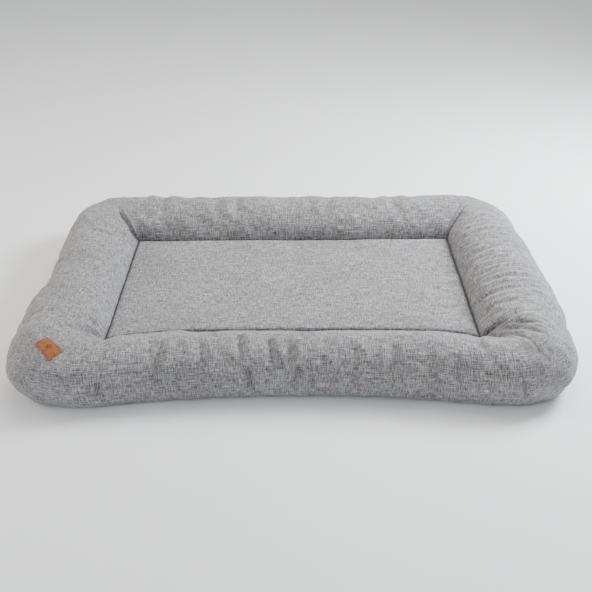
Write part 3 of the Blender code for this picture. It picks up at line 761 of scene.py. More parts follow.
def cut_window(obj):
    """Cuts the window into the rear wall and turns its edge in."""
    mesh = bmesh.new()
    mesh.from_mesh(obj.data)

    def inside(point, margin=0.0):
        rear = point.y > INNER_Y + RING_WIDTH / 2
        low = abs(point.z - ZIP_HEIGHT) < WINDOW_HALF_HEIGHT + margin
        return rear and low and abs(point.x) < WINDOW_HALF_LENGTH + margin

    gone = [f for f in mesh.faces if inside(f.calc_center_median())]
    bmesh.ops.delete(mesh, geom=gone, context="FACES")
    rim = [e for e in mesh.edges if e.is_boundary and all(inside(v.co, 0.004) for v in e.verts)]
    for vertex in {v for e in rim for v in e.verts}:
        if abs(vertex.co.x) > WINDOW_HALF_LENGTH - RIM_REACH:
            vertex.co.x = math.copysign(WINDOW_HALF_LENGTH, vertex.co.x)
        over = vertex.co.z - ZIP_HEIGHT
        if abs(over) > WINDOW_HALF_HEIGHT - RIM_REACH:
            vertex.co.z = ZIP_HEIGHT + math.copysign(WINDOW_HALF_HEIGHT, over)
    for depth in (LIP_START, LIP_DEPTH):
        made = bmesh.ops.extrude_edge_only(mesh, edges=rim)["geom"]
        for vertex in (g for g in made if isinstance(g, bmesh.types.BMVert)):
            vertex.co.y -= depth
            vertex.co.z -= math.copysign(LIP_START, vertex.co.z - ZIP_HEIGHT)
        rim = [g for g in made if isinstance(g, bmesh.types.BMEdge)]
    mesh.to_mesh(obj.data)
    mesh.free()
    return len(gone)


print("window: took out", cut_window(cover), "faces")
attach(cover, "bed")
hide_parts("bolster_cover")

# %% [markdown]
# ## The sleeping panel
# The panel is the same cloth over a thin pad. It lies almost flat, and its edge rolls down into
# the seam, so that a narrow valley runs all round. A grid with that rolled edge gives both, and
# the pad shows through as a slow unevenness.

# %% Make the sleeping panel
PANEL_ROLL = 0.013
PANEL_RISE = 0.0015
PANEL_STEP = 0.005
PANEL_WAVE = 0.0007
PANEL_LUMPS = 0.00025
PANEL_DOME = 0.0012


def panel_height(x, y):
    """Height of the panel's cloth over a place on it."""
    edge = np.minimum(INNER_X - np.abs(x), INNER_Y - np.abs(y))
    rolled = np.sqrt(1 - (1 - np.clip(edge / PANEL_ROLL, 0, 1)) ** 2)
    flat = np.stack([x, y], axis=1)
    soft = PANEL_WAVE * unevenness(flat, 0.17, 5) + PANEL_LUMPS * unevenness(flat, 0.05, 6)
    dome = PANEL_DOME * smoothstep(edge / 0.1)
    return SEAM_HEIGHT + (PANEL_HIGH.z + PANEL_RISE - SEAM_HEIGHT + soft + dome) * rolled


def grid_mesh(name, half_x, half_y, step, height):
    """A flat grid of cloth whose height is worked out from x and y."""
    columns, rows = round(2 * half_x / step), round(2 * half_y / step)
    flat = grid_plan((-half_x, -half_y), (half_x, half_y), columns, rows)
    points = np.column_stack([flat, height(*flat.T)])
    return make_mesh(name, points, grid_quads(columns, rows), flat)


panel = grid_mesh("woven_sleeping_panel", INNER_X, INNER_Y, PANEL_STEP, panel_height)
bow_pad(panel)
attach(panel, "bed")
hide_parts("sleeping_panel")
print("panel", [round(v, 4) for v in panel.dimensions])

# %% [markdown]
# ## The base cloth
# A plain tough cloth closes the ring from below and lies on the floor. Its outline is the ring's
# own lower edge, so it is made from that row of points, drawn in towards the middle in rings.

# %% Make the base cloth
BASE_RINGS = 26
BASE_LIFT = 0.0007
BASE_WAVE = 0.0003
BASE_MARGIN = 1.012


def make_base():
    """The cloth under the whole bed, with its size and area."""
    edge = np.nonzero(RING_ROW == ACROSS)[0]
    outline = RING_POINTS[edge][:, :2]
    outline = outline[np.argsort(np.arctan2(outline[:, 1], outline[:, 0]))]
    shrink = np.linspace(BASE_MARGIN, 0.0, BASE_RINGS, endpoint=False)
    flat = np.vstack([outline * k for k in shrink] + [np.zeros((1, 2))])
    lift = BASE_LIFT + BASE_WAVE * unevenness(flat, 0.09, 12)
    points = np.column_stack([flat, np.clip(lift, 0.0002, 0.0014)])
    around = len(outline)
    faces = tube_quads(BASE_RINGS, around)
    last = (BASE_RINGS - 1) * around
    faces += [(last + n, last + (n + 1) % around, len(flat) - 1) for n in range(around)]
    base = make_mesh("base_cloth", points, faces, flat)
    x, y = outline.T
    area = 0.5 * abs(float(np.dot(x, np.roll(y, -1)) - np.dot(y, np.roll(x, -1))))
    return base, np.ptp(outline, axis=0) * shrink[0], area * shrink[0] ** 2


base, base_size, base_area = make_base()
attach(base, "bed")
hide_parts("base_panel")
print("base cloth", base_size.round(4), "area", round(base_area, 4))

# %% [markdown]
# ## Inside the ring
# Four inner pillows keep the fibre in place, so that a side can be washed or filled again. They
# meet at the corners, where their ends are rounded. Each is a closed tube along its side, thinner
# than the ring, with ends that draw in.

# %% Make the inner pillows
PILLOW_SHARE = 0.34
WIDEST_SHARE = 0.78
PILLOW_SQUARENESS = 2.3
PILLOW_AROUND = 40


def pillow_line(side):
    """Middle line of a pillow and the ring's width along it, from one corner to the next."""
    long_way = side in ("front", "back")
    sign = 1 if side in ("right", "back") else -1
    count = COLUMNS if long_way else ROWS
    row = round(WIDEST_SHARE * ACROSS)
    along = np.arange(-row, count + row + 1)
    across = np.full(len(along), -row if sign < 0 else (ROWS if long_way else COLUMNS) + row)
    i, j = (along, across) if long_way else (across, along)
    points = place_on_ring(i, j)[0][:, :2]
    inner = np.stack([np.clip(i, 0, COLUMNS) / COLUMNS, np.clip(j, 0, ROWS) / ROWS], axis=1)
    return (2 * inner - 1) * np.array([INNER_X, INNER_Y]), points


def make_pillow(side):
    inner, outer = pillow_line(side)
    middle = inner + (outer - inner) * 0.5
    reach = np.linalg.norm(outer - inner, axis=1, keepdims=True)
    way = (outer - inner) / reach
    run = np.concatenate([[0], np.cumsum(np.linalg.norm(np.diff(middle, axis=0), axis=1))])
    from_end = np.minimum(run, run[-1] - run)
    full = np.sqrt(1 - (1 - np.clip(from_end / 0.07, 0.0, 1.0)) ** 2) * 0.97 + 0.03
    angle = np.linspace(0, 2 * math.pi, PILLOW_AROUND, endpoint=False)
    across, up = ellipse_part(angle, PILLOW_SQUARENESS)
    rim = np.column_stack([run, np.zeros(len(run))])
    full *= 1 + 0.02 * unevenness(rim, 0.09, 21)
    half_height = (CROWN - CROWN_DROP) * PILLOW_SHARE
    out = full[:, None] * across * np.minimum(reach, RING_WIDTH) * PILLOW_SHARE * 0.93
    xy = middle[:, None, :] + way[:, None, :] * out[..., None]
    z = 0.006 + half_height + full[:, None] * up * half_height
    points = np.concatenate([xy, z[..., None]], axis=2).reshape(-1, 3)
    count = len(middle)
    faces = tube_quads(count, PILLOW_AROUND)
    faces += [end[::-1] for end in tube_ends(count, PILLOW_AROUND)]
    girth = np.tile(angle * RING_WIDTH / 2, count)
    flat = np.column_stack([np.repeat(run, PILLOW_AROUND), girth])
    pillow = make_mesh(f"inner_pillow_{side}", points, faces, flat)
    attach(pillow, "bed")
    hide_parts(f"bolster_liner_{side}", f"bolster_fibre_{side}")
    return pillow


pillows = [make_pillow(side) for side in ("front", "right", "back", "left")]
print("inner pillows:", [p.name for p in pillows])

# %% [markdown]
# ## Inside the panel
# Under the panel lies a bag with a slab of foam between two layers of wadding. A soft slab is a
# closed grid whose top and bottom roll together at the edge.

# %% Make the pad
SLAB_CELLS = (70, 42)
WELD_DISTANCE = 1e-6


def soft_slab(name, node, low, high, roll, half, seed):
    """A closed slab with rolled edges between two heights. half is its half length and depth."""
    flat = grid_plan((-1, -1), (1, 1), *SLAB_CELLS) * half
    edge = (np.array(half) - np.abs(flat)).min(axis=1)
    full = np.sqrt(1 - (1 - np.clip(edge / roll, 0, 1)) ** 2)
    middle, thick = (low + high) / 2, (high - low) / 2
    soft = 1 - 0.02 * (1 + unevenness(flat, 0.12, seed))
    top = np.column_stack([flat, middle + thick * full * soft])
    bottom = np.column_stack([flat, middle - thick * full])
    upper = grid_quads(*SLAB_CELLS)
    lower = upper[:, ::-1] + len(flat)
    obj = make_mesh(name, np.vstack([top, bottom]), [*upper, *lower], np.vstack([flat, flat]))
    joined = bmesh.new()
    joined.from_mesh(obj.data)
    bmesh.ops.remove_doubles(joined, verts=joined.verts, dist=WELD_DISTANCE)
    joined.to_mesh(obj.data)
    joined.free()
    bow_pad(obj)
    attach(obj, "bed")
    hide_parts(node)
    return obj


PAD_HALF = (INNER_X - 0.0035, INNER_Y - 0.0035)
PAD_INSIDE = (PAD_HALF[0] - 0.006, PAD_HALF[1] - 0.006)
pad_bag = soft_slab("pad_bag", "pad_liner", 0.0022, 0.0535, 0.018, PAD_HALF, 31)
pad_foam = soft_slab("pad_foam", "pad_foam_core", 0.0135, 0.0415, 0.004, PAD_INSIDE, 32)
pad_wadding = [
    soft_slab(f"wadding_{where}_foam", node, low, high, 0.012, PAD_INSIDE, seed)
    for where, node, low, high, seed in (
        ("over", "pad_wadding_top", 0.0418, 0.0508, 33),
        ("under", "pad_wadding_bottom", 0.0042, 0.0132, 34),
    )
]
DIVIDER_POINTS = 64


def make_divider():
    """The upright wall of cloth between the pad and the ring, sewn to the seam and the base."""
    half = np.array([INNER_X + 0.0008, INNER_Y + 0.0008])
    side = np.linspace(-1, 1, DIVIDER_POINTS, endpoint=False)
    one = np.ones(DIVIDER_POINTS)
    sides = ((side, -one), (one, side), (-side, one), (-one, -side))
    loop = np.concatenate([np.stack(pair, axis=1) for pair in sides]) * half
    heights = np.linspace(0.0020, SEAM_HEIGHT - 0.0015, 7)
    wave = 0.0003 * unevenness(loop, 0.06, 41)
    inwards = loop / np.linalg.norm(loop, axis=1, keepdims=True)
    points = []
    for k, z in enumerate(heights):
        waved = loop + inwards * (wave * math.sin(k))[:, None]
        points.append(np.column_stack([waved, np.full(len(loop), z)]))
    run = np.concatenate([[0], np.cumsum(np.linalg.norm(np.diff(loop, axis=0), axis=1))])
    flat = np.vstack([np.column_stack([run, np.full(len(loop), z)]) for z in heights])
    faces = tube_quads(len(heights), len(loop))
    wall = make_mesh("dividing_wall", np.vstack(points), faces, flat)
    bow_pad(wall)
    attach(wall, "bed")
    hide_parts("bolster_divider")
    return wall


divider = make_divider()

# %% [markdown]
# ## The leather label
# A small patch of tan leather is sewn over the front left corner. Leather bends with what it lies
# on, so a flat patch is laid over the corner and each of its points drops on to the cloth. It has
# real thickness and rounded edges. Its face has a plain pressed border and a simple paw print,
# pressed in as a tool would do it.

# %% Make the label
LABEL_LONG, LABEL_WIDE = 0.050, 0.030
LABEL_THICK = 0.0015
LABEL_TURN = math.radians(315)
LABEL_CELL = 0.0004
LABEL_SHIFT = (-0.0075, 0.0125, 0.0)
LABEL_CORNER = 0.0016
LABEL_ROLL = 0.0008
LABEL_SUNK = 0.0004
PRESS_DEPTH = 0.0004
CAST_FROM = 0.03
BRIDGE_ROUNDS = 40


def cover_tree():
    """The cover's faces, ready for rays to be cast at them."""
    points = [v.co[:] for v in cover.data.vertices]
    return BVHTree.FromPolygons(points, [p.vertices[:] for p in cover.data.polygons])


def pressed(u, v):
    """How deep the tool pressed the leather, from 0 to 1: a border and a paw print."""
    edge = np.minimum(LABEL_LONG / 2 - np.abs(u), LABEL_WIDE / 2 - np.abs(v))
    depth = np.exp(-(((edge - 0.0028) / 0.00045) ** 2))
    pads = [(0.0, -0.0022, 0.0042, 0.0034)]
    pads += [(-0.0050, 0.0016, 0.0016, 0.0021), (-0.0018, 0.0044, 0.0016, 0.0022)]
    pads += [(0.0018, 0.0044, 0.0016, 0.0022), (0.0050, 0.0016, 0.0016, 0.0021)]
    for at_u, at_v, half_u, half_v in pads:
        inside = ((u - at_u) / half_u) ** 2 + ((v - at_v) / half_v) ** 2
        depth = np.maximum(depth, smoothstep((1.1 - inside) / 0.35))
    return depth


def make_label(tree):
    low, high = (Vector(c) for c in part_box("leather_label"))
    middle = (low + high) / 2 + Vector(LABEL_SHIFT)
    hit, normal = tree.ray_cast(Vector((middle.x, middle.y, 0.3)), Vector((0, 0, -1)))[:2]
    long_way = Vector((math.cos(LABEL_TURN), math.sin(LABEL_TURN), 0.0))
    long_way = (long_way - normal * long_way.dot(normal)).normalized()
    wide_way = normal.cross(long_way)
    columns, rows = round(LABEL_LONG / LABEL_CELL), round(LABEL_WIDE / LABEL_CELL)
    half = np.array([LABEL_LONG / 2, LABEL_WIDE / 2])
    flat = grid_plan(-half, half, columns, rows)
    # the corners are cut round: points outside the arc move on to it
    over = np.maximum(np.abs(flat) - (half - LABEL_CORNER), 0)
    far = np.maximum(np.hypot(*over.T) / LABEL_CORNER, 1e-9)
    pull = np.where(over.min(axis=1) > 0, np.minimum(1, over.max(axis=1) / LABEL_CORNER / far), 1)
    flat = np.sign(flat) * (np.minimum(np.abs(flat), half - LABEL_CORNER) + over * pull[:, None])
    u, v = flat.T
    drop = np.empty(len(u))
    for n in range(len(u)):
        start = hit + long_way * u[n] + wide_way * v[n] + normal * CAST_FROM
        found = tree.ray_cast(start, -normal)[3]
        drop[n] = CAST_FROM - (found if found is not None else CAST_FROM)
    # leather is stiffer than the cloth, so it bridges the small folds
    shape = drop.reshape(rows + 1, columns + 1)
    for _ in range(BRIDGE_ROUNDS):
        near = np.pad(shape, 1, mode="reflect", reflect_type="odd")
        shape = (near[:-2, 1:-1] + near[2:, 1:-1] + near[1:-1, :-2] + near[1:-1, 2:]) / 4
    shape += max(0.0, float((drop.reshape(shape.shape) - shape).max()) * 0.6)
    edge = np.minimum(LABEL_LONG / 2 - np.abs(u), LABEL_WIDE / 2 - np.abs(v))
    rounded = np.sqrt(1 - (1 - np.clip(edge / LABEL_ROLL, 0, 1)) ** 2)
    base_lift = shape.ravel()
    top = base_lift + LABEL_THICK * (0.45 + 0.55 * rounded) - PRESS_DEPTH * pressed(u, v)
    place = np.array(hit) + np.outer(u, long_way) + np.outer(v, wide_way)
    upper = place + np.outer(top, normal)
    lower = place + np.outer(base_lift - LABEL_SUNK, normal)
    quads = grid_quads(columns, rows)
    walls = [wall[::-1] for wall in grid_walls(columns, rows)]
    faces = [*quads, *(quads[:, ::-1] + len(u)), *walls]
    label = make_mesh("leather_patch", np.vstack([upper, lower]), faces, np.vstack([flat, flat]))
    pressed_layer = label.data.color_attributes.new("pressed", "FLOAT_COLOR", "POINT")
    shade = np.tile(pressed(u, v), 2)
    pressed_layer.data.foreach_set("color", np.column_stack([shade] * 3 + [shade * 0 + 1]).ravel())
    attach(label, "bed")
    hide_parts("leather_label")
    return label


label = make_label(cover_tree())
print("label lies at", [round(v, 4) for v in np.mean([v.co for v in label.data.vertices], axis=0)])

# %% [markdown]
# ## The zip
# Each half of the zip is a woven tape with a nylon coil sewn along its edge. The coil is a flat
# spiral of one thick thread, so it is built as one, a round section led along it. The tapes
# are thin woven strips that run on a little behind the cover.

# %% Make the tapes and coils
COIL_PITCH = 0.0015
COIL_THREAD = 0.00028
COIL_POINTS = 10
COIL_GAP = 0.00065
TAPE_STEP = 0.0022
TAPE_ROWS = 6
TAPE_WAVE = 0.00006
TAPE_SKIN = 0.00008


def make_tape(part):
    low, high = (Vector(c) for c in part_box(f"zip_tape_{part}"))
    columns, rows = round((high.x - low.x) / TAPE_STEP), TAPE_ROWS
    flat = grid_plan((low.x, low.z), (high.x, high.z), columns, rows)
    x, z = flat.T
    wave = TAPE_WAVE * unevenness(flat, 0.03, 51)
    outer = np.column_stack([x, high.y - TAPE_SKIN + wave, z])
    inner = np.column_stack([x, low.y + TAPE_SKIN + wave, z])
    quads = grid_quads(columns, rows)
    faces = [*quads[:, ::-1], *(quads + len(flat)), *grid_walls(columns, rows)]
    tape = make_mesh(f"woven_tape_{part}", np.vstack([outer, inner]), faces, np.vstack([flat, flat]))
    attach(tape, "bed")
    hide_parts(f"zip_tape_{part}")
    return tape


def round_thread(path, radius, sides=6):
    """A round thread along a path that winds about the x axis."""
    way = np.gradient(path, axis=0)
    side = np.cross(way, [1.0, 0.0, 0.0])
    side /= np.linalg.norm(side, axis=1, keepdims=True)
    other = np.cross(way, side)
    other /= np.linalg.norm(other, axis=1, keepdims=True)
    angle = np.arange(sides) * 2 * math.pi / sides
    ring = side[:, None] * np.cos(angle)[:, None] + other[:, None] * np.sin(angle)[:, None]
    points = (path[:, None] + radius * ring).reshape(-1, 3)
    return points, tube_quads(len(path), sides) + tube_ends(len(path), sides)


def make_coil(part, phase):
    low, high = (Vector(c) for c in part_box(f"zip_chain_{part}"))
    near = ZIP_HEIGHT + math.copysign(COIL_GAP, low.z - ZIP_HEIGHT)
    far = high.z if low.z > ZIP_HEIGHT else low.z
    middle_z, half_z = (near + far) / 2, abs(far - near) / 2 - COIL_THREAD
    middle_y, half_y = (low.y + high.y) / 2, (high.y - low.y) / 2 - COIL_THREAD
    turns = (high.x - low.x - 2 * COIL_THREAD) / COIL_PITCH
    angle = np.arange(0, turns * COIL_POINTS) * 2 * math.pi / COIL_POINTS
    # the thread crosses quickly at the teeth and leans back at the tape
    x = low.x + COIL_THREAD + COIL_PITCH * (angle / (2 * math.pi) + 0.12 * np.sin(angle))
    y = middle_y + half_y * np.sin(angle + phase)
    z = middle_z + half_z * np.cos(angle + phase)
    coil = make_mesh(f"zip_coil_{part}", *round_thread(np.column_stack([x, y, z]), COIL_THREAD))
    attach(coil, "bed")
    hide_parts(f"zip_chain_{part}")
    return coil


tapes = [make_tape(part) for part in ("upper", "lower")]
coils = [make_coil("upper", 0.0), make_coil("lower", math.pi)]
print("coil turns:", round((CHAIN_HIGH.x - CHAIN_LOW.x) / COIL_PITCH))

# %% [markdown]
# ## Stitches round the window
# Two lines of thread hold the zip's tapes to the cover. Each stitch is a short round bar that
# dips into the cloth at both ends, and all of them are one mesh.

# %% Sew the window
STITCH = 0.0028
STITCH_GAP = 0.0010
THREAD = 0.00032
STITCH_EDGE = 0.0030


def rounded_bar(start, end, out, radius, sides=6):
    """Points and faces of a thread from start to end that bulges outwards in its middle."""
    along = (end - start).normalized()
    side = along.cross(out).normalized()
    points = []
    # along the bar, its thickness and its lift, as shares of the length and the radius
    parts = ((0, 0.35, -0.6), (0.18, 0.9, 0.35), (0.5, 1, 0.6), (0.82, 0.9, 0.35), (1, 0.35, -0.6))
    for share, thick, lift in parts:
        centre = start.lerp(end, share) + out * radius * lift
        for n in range(sides):
            angle = 2 * math.pi * n / sides
            points.append(centre + (side * math.cos(angle) + out * math.sin(angle)) * radius * thick)
    return points, tube_quads(len(parts), sides) + tube_ends(len(parts), sides)


def sew(name, line, tree, out, body="bed"):
    """Lays stitches along a line of points, on the surface that lies behind it."""
    points, faces = [], []
    for a, b in zip(line[:-1], line[1:]):
        length = (b - a).length
        count = max(1, round(length / (STITCH + STITCH_GAP)))
        for n in range(count):
            ends = [a.lerp(b, (n + share) / count) for share in (0.12, 0.88)]
            ends = [tree.ray_cast(e + out * 0.02, -out)[0] for e in ends]
            if None in ends:
                continue
            new_points, new_faces = rounded_bar(*ends, out, THREAD)
            faces += [tuple(i + len(points) for i in face) for face in new_faces]
            points += new_points
    stitches = make_mesh(name, points, faces)
    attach(stitches, body)
    return stitches


def window_line(margin):
    half_x, half_z = WINDOW_HALF_LENGTH + margin, WINDOW_HALF_HEIGHT + margin
    corners = [(-half_x, -half_z), (half_x, -half_z), (half_x, half_z), (-half_x, half_z)]
    corners.append(corners[0])
    return [Vector((x, REAR_FACE, ZIP_HEIGHT + z)) for x, z in corners]


zip_seam = sew("zip_topstitching", window_line(STITCH_EDGE), cover_tree(), Vector((0, 1, 0)))
print("stitches:", len(zip_seam.data.vertices) // 30)

# %% [markdown]
# ## The slider and its pull
# The slider is two plates joined by a slim post, with rails that wrap the coils and a small arch
# on top, the bail. The pull hangs in the bail by the bar at its end, which is the hinge. Both are
# cast in zinc, so their edges are all rounded: each plate is built from its outline in layers,
# with the first and last drawn in.

# %% Make the slider and the pull
SLIDER_LOW, SLIDER_HIGH = (Vector(c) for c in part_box("zip_slider"))
PULL_LOW, PULL_HIGH = (Vector(c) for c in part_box("zip_pull"))
SLIDER_X = (SLIDER_LOW.x + SLIDER_HIGH.x) / 2
PULL_AXIS = Vector((SLIDER_X, (PULL_LOW.y + PULL_HIGH.y) / 2, ZIP_HEIGHT))
PLATE = 0.0012
POST_HALF = 0.00042


def outline_loop(half_x, half_z, squareness, count, nose=0.0):
    """A rounded outline round the origin. nose narrows it towards +x."""
    angle = np.linspace(0, 2 * math.pi, count, endpoint=False)
    across, up = ellipse_part(angle, squareness)
    taper = 1 - nose * smoothstep((across + 0.1) / 1.1)
    return np.stack([half_x * across, half_z * up * taper], axis=1)


def layered(outer, low, high, edge, inner=None):
    """A plate between two depths with rounded edges, and a rounded hole if there is an inner loop."""
    points = []
    count = len(outer)

    def loop_at(loop, inset, depth):
        way = loop - loop.mean(axis=0)
        length = np.linalg.norm(way, axis=1, keepdims=True)
        points.extend([(x, depth, z) for x, z in loop - way / length * inset])

    depths = [(1.0, low), (0.3, low + 0.3 * edge), (0.0, low + edge)]
    depths += [(0.0, high - edge), (0.3, high - 0.3 * edge), (1.0, high)]
    for share, depth in depths:
        loop_at(outer, share * edge, depth)
    rings = len(depths)
    faces = tube_quads(rings, count)
    if inner is None:
        return points, faces + tube_ends(rings, count)
    start = len(points)
    for share, depth in depths:
        loop_at(inner, -share * edge, depth)
    faces += [face[::-1] for face in tube_quads(rings, count, start)]
    for ring, flip in ((0, True), (rings - 1, False)):
        for n in range(count):
            a, b = ring * count + n, ring * count + (n + 1) % count
            face = (a, b, start + b, start + a)
            faces.append(face[::-1] if flip else face)
    return points, faces


def joined(parts):
    """One list of points and faces from several."""
    points, faces = [], []
    for part_points, part_faces in parts:
        faces += [tuple(i + len(points) for i in face) for face in part_faces]
        points += [tuple(p) for p in part_points]
    return points, faces


def moved(part, x=0.0, y=0.0, z=0.0):
    return [(p[0] + x, p[1] + y, p[2] + z) for p in part[0]], part[1]


def swept_arch(path, half_thick, half_wide):
    """A strip with rounded edges that follows a path of (x, depth) points."""
    points = []
    sides = 12
    angle = np.linspace(0, 2 * math.pi, sides, endpoint=False)
    across, up = ellipse_part(angle, 4.0)
    path = np.array(path)
    way = np.gradient(path, axis=0)
    way /= np.linalg.norm(way, axis=1, keepdims=True)
    for (x, y), (dx, dy) in zip(path, way):
        for a, b in zip(across, up):
            points.append((x - dy * a * half_thick, y + dx * a * half_thick, b * half_wide))
    faces = tube_quads(len(path), sides) + tube_ends(len(path), sides)
    return points, [face[::-1] for face in faces]


def make_slider():
    half_x = (SLIDER_HIGH.x - SLIDER_LOW.x) / 2
    half_z = (SLIDER_HIGH.z - SLIDER_LOW.z) / 2
    face = CHAIN_HIGH.y + 0.0003
    body = outline_loop(half_x, half_z, 3.4, 56, nose=0.16)
    inner_high = TAPE_LOW.y - 0.0003
    parts = [layered(body, face, face + PLATE, 0.0004)]
    parts.append(layered(body, SLIDER_LOW.y, inner_high, 0.0003))
    post = outline_loop(0.0022, POST_HALF, 2.5, 24)
    parts.append(moved(layered(post, inner_high - 0.0004, face + 0.0004, 0.0001), x=0.002))
    for sign in (-1, 1):
        rail = outline_loop(half_x * 0.8, 0.00042, 5.0, 32)
        reach = CHAIN_HIGH.z - ZIP_HEIGHT + 0.0003 + 0.00045
        parts.append(moved(layered(rail, TAPE_HIGH.y + 0.00025, face + 0.0006, 0.0001), z=sign * reach))
    top = SLIDER_HIGH.y - 0.00055
    foot = face + PLATE - 0.0003
    turn = np.linspace(0, math.pi, 15)
    arch = [(-0.0034 * math.cos(t), foot + (top - foot) * math.sin(t) ** 0.55) for t in turn]
    parts.append(swept_arch([(x, y) for x, y in arch], 0.00052, 0.00105))
    points, faces = joined(parts)
    points = [(x + SLIDER_X, y, z + ZIP_HEIGHT) for x, y, z in points]
    slider = make_mesh("cast_slider", points, faces)
    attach(slider, "slider")
    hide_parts("zip_slider")
    return slider


def make_pull():
    long = PULL_HIGH.x - PULL_LOW.x
    half_z = (PULL_HIGH.z - PULL_LOW.z) / 2
    thick = PULL_HIGH.y - PULL_LOW.y
    body = outline_loop(long / 2, half_z, 3.6, 64, nose=0.22) + [long / 2 - thick / 2, 0.0]
    eye = outline_loop(0.0023, half_z - 0.0019, 3.0, 64) + [0.0029, 0.0]
    parts = [layered(body, -thick / 2, thick / 2 - 0.0001, 0.0003, eye)]
    for n in range(5):
        rib = outline_loop(0.00035, half_z * (0.62 - 0.03 * n), 4.0, 20)
        parts.append(moved(layered(rib, 0.0002, thick / 2, 0.0001), x=0.0108 + 0.0017 * n))
    points, faces = joined(parts)
    points = [(x + PULL_AXIS.x, y + PULL_AXIS.y, z + PULL_AXIS.z) for x, y, z in points]
    pull = make_mesh("cast_pull", points, faces)
    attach(pull, "pull")
    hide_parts("zip_pull")
    return pull


slider = make_slider()
pull = make_pull()
print("slider", len(slider.data.vertices), "points; pull", len(pull.data.vertices), "points")

# %% [markdown]
# ## Helpers for materials
# A finish is a small network of nodes. Two short helpers keep each network readable: one starts
# a material, the other adds a node and joins its inputs in one line.

# %% Helpers for node networks


def start_finish(name, roughness, **sockets):
    """A new material and its shader, with the values that are the same all over set on it."""
    material = bpy.data.materials.new(name)
    material.use_nodes = True
    tree = material.node_tree
    shader = tree.nodes["Principled BSDF"]
    shader.inputs["Roughness"].default_value = roughness
    for key, value in sockets.items():
        shader.inputs[key.replace("_", " ")].default_value = value
    return material, tree, shader


def add(tree, kind, inputs=(), **settings):
    """Adds a node. inputs pairs a socket's name or number with a value or another socket."""
    made = tree.nodes.new("ShaderNode" + kind)
    for key, value in settings.items():
        setattr(made, key, value)
    for key, value in dict(inputs).items():
        if isinstance(value, bpy.types.NodeSocket):
            tree.links.new(value, made.inputs[key])
        else:
            made.inputs[key].default_value = value
    return made


def sums(tree, operation, *values):
    """One Math node, and its result."""
    return add(tree, "Math", dict(enumerate(values)), operation=operation).outputs[0]


def tones(tree, factor, *stops):
    """A ramp of colours. Each stop is a place from 0 to 1 and a colour."""
    ramp = add(tree, "ValToRGB", {"Fac": factor})
    band = ramp.color_ramp
    while len(band.elements) < len(stops):
        band.elements.new(0.5)
    for element, (place, colour) in zip(band.elements, stops):
        element.position = place
        element.color = (*colour, 1.0)
    return ramp.outputs["Color"]


def blend(tree, factor, first, second, kind="MIX"):
    """Mixes two colours."""
    mix = add(tree, "Mix", {0: factor, 6: first, 7: second}, data_type="RGBA", blend_type=kind)
    return mix.outputs[2]


def stretched_noise(tree, place, wide_x, wide_y, detail=1.0, shift=0.0):
    """Noise whose spots have this width and length, in metres, on the flat cloth."""
    scaled = add(tree, "Mapping", {"Vector": place, "Scale": (1 / wide_x, 1 / wide_y, 1.0),
                                   "Location": (shift, 0.37 * shift, 0.0)})
    noise = add(tree, "TexNoise", {"Vector": scaled.outputs[0], "Scale": 1.0, "Detail": detail,
                                   "Roughness": 0.55}, noise_dimensions="2D")
    return noise.outputs["Fac"]


# %% [markdown]
# ## Woven cloth
# The cover is a slub linen look: yarns of uneven thickness, warp in cool greys and weft in warm
# ones, crossing one over one. Seen close, each yarn is a streak about a millimetre wide and some
# centimetres long, with thicker slubs and dark flecks among them. Streaks along both ways of the
# flat cloth are mixed by a small chequer, which also gives the relief.
# Beside the panel's seam the colour is darkened by painted shade.

# %% Weave the cloths
FLECK_TINT = (0.72, 0.70, 0.70)
# painted shade beside the panel's seam: the tint that darkens the cloth there
SEAM_SHADE_TINT = (0.58, 0.58, 0.62)
SLUB_RISE = 1.6


def yarn_place(tree):
    """Each point's place on the flat cloth."""
    return add(tree, "UVMap", uv_map="cloth").outputs[0]


def weave_over(tree, place, pitch):
    """1 where the warp lies on top and 0 where the weft does, soft at the crossings."""
    x, y, _ = add(tree, "SeparateXYZ", {0: place}).outputs
    wave_x = sums(tree, "SINE", sums(tree, "MULTIPLY", x, math.pi / pitch))
    wave_y = sums(tree, "SINE", sums(tree, "MULTIPLY", y, math.pi / pitch))
    product = sums(tree, "MULTIPLY", wave_x, wave_y)
    return sums(tree, "MULTIPLY_ADD", product, 0.5, 0.5)


def painted_seam_shade(tree, place):
    """1 beside the panel's seam, where the cloth is darkened by painted shade, and 0 a few millimetres
    off.
    """
    x, y, _ = add(tree, "SeparateXYZ", {0: place}).outputs
    over_x = sums(tree, "SUBTRACT", sums(tree, "ABSOLUTE", x), INNER_X)
    over_y = sums(tree, "SUBTRACT", sums(tree, "ABSOLUTE", y), INNER_Y)
    away = sums(tree, "ABSOLUTE", sums(tree, "MAXIMUM", over_x, over_y))
    return add(tree, "MapRange", {0: away, 1: 0.0035, 2: 0.0080, 3: 1.0, 4: 0.0}).outputs[0]


def mixed(tree, first, second, share):
    """Two values, with this share of the second."""
    kept = sums(tree, "MULTIPLY", first, 1 - share)
    return sums(tree, "ADD", kept, sums(tree, "MULTIPLY", second, share))


def shaded(tree, colour, factor, tint):
    """A colour, multiplied by a tint where the factor is 1."""
    return blend(tree, factor, colour, blend(tree, 1.0, colour, (*tint, 1.0), "MULTIPLY"))


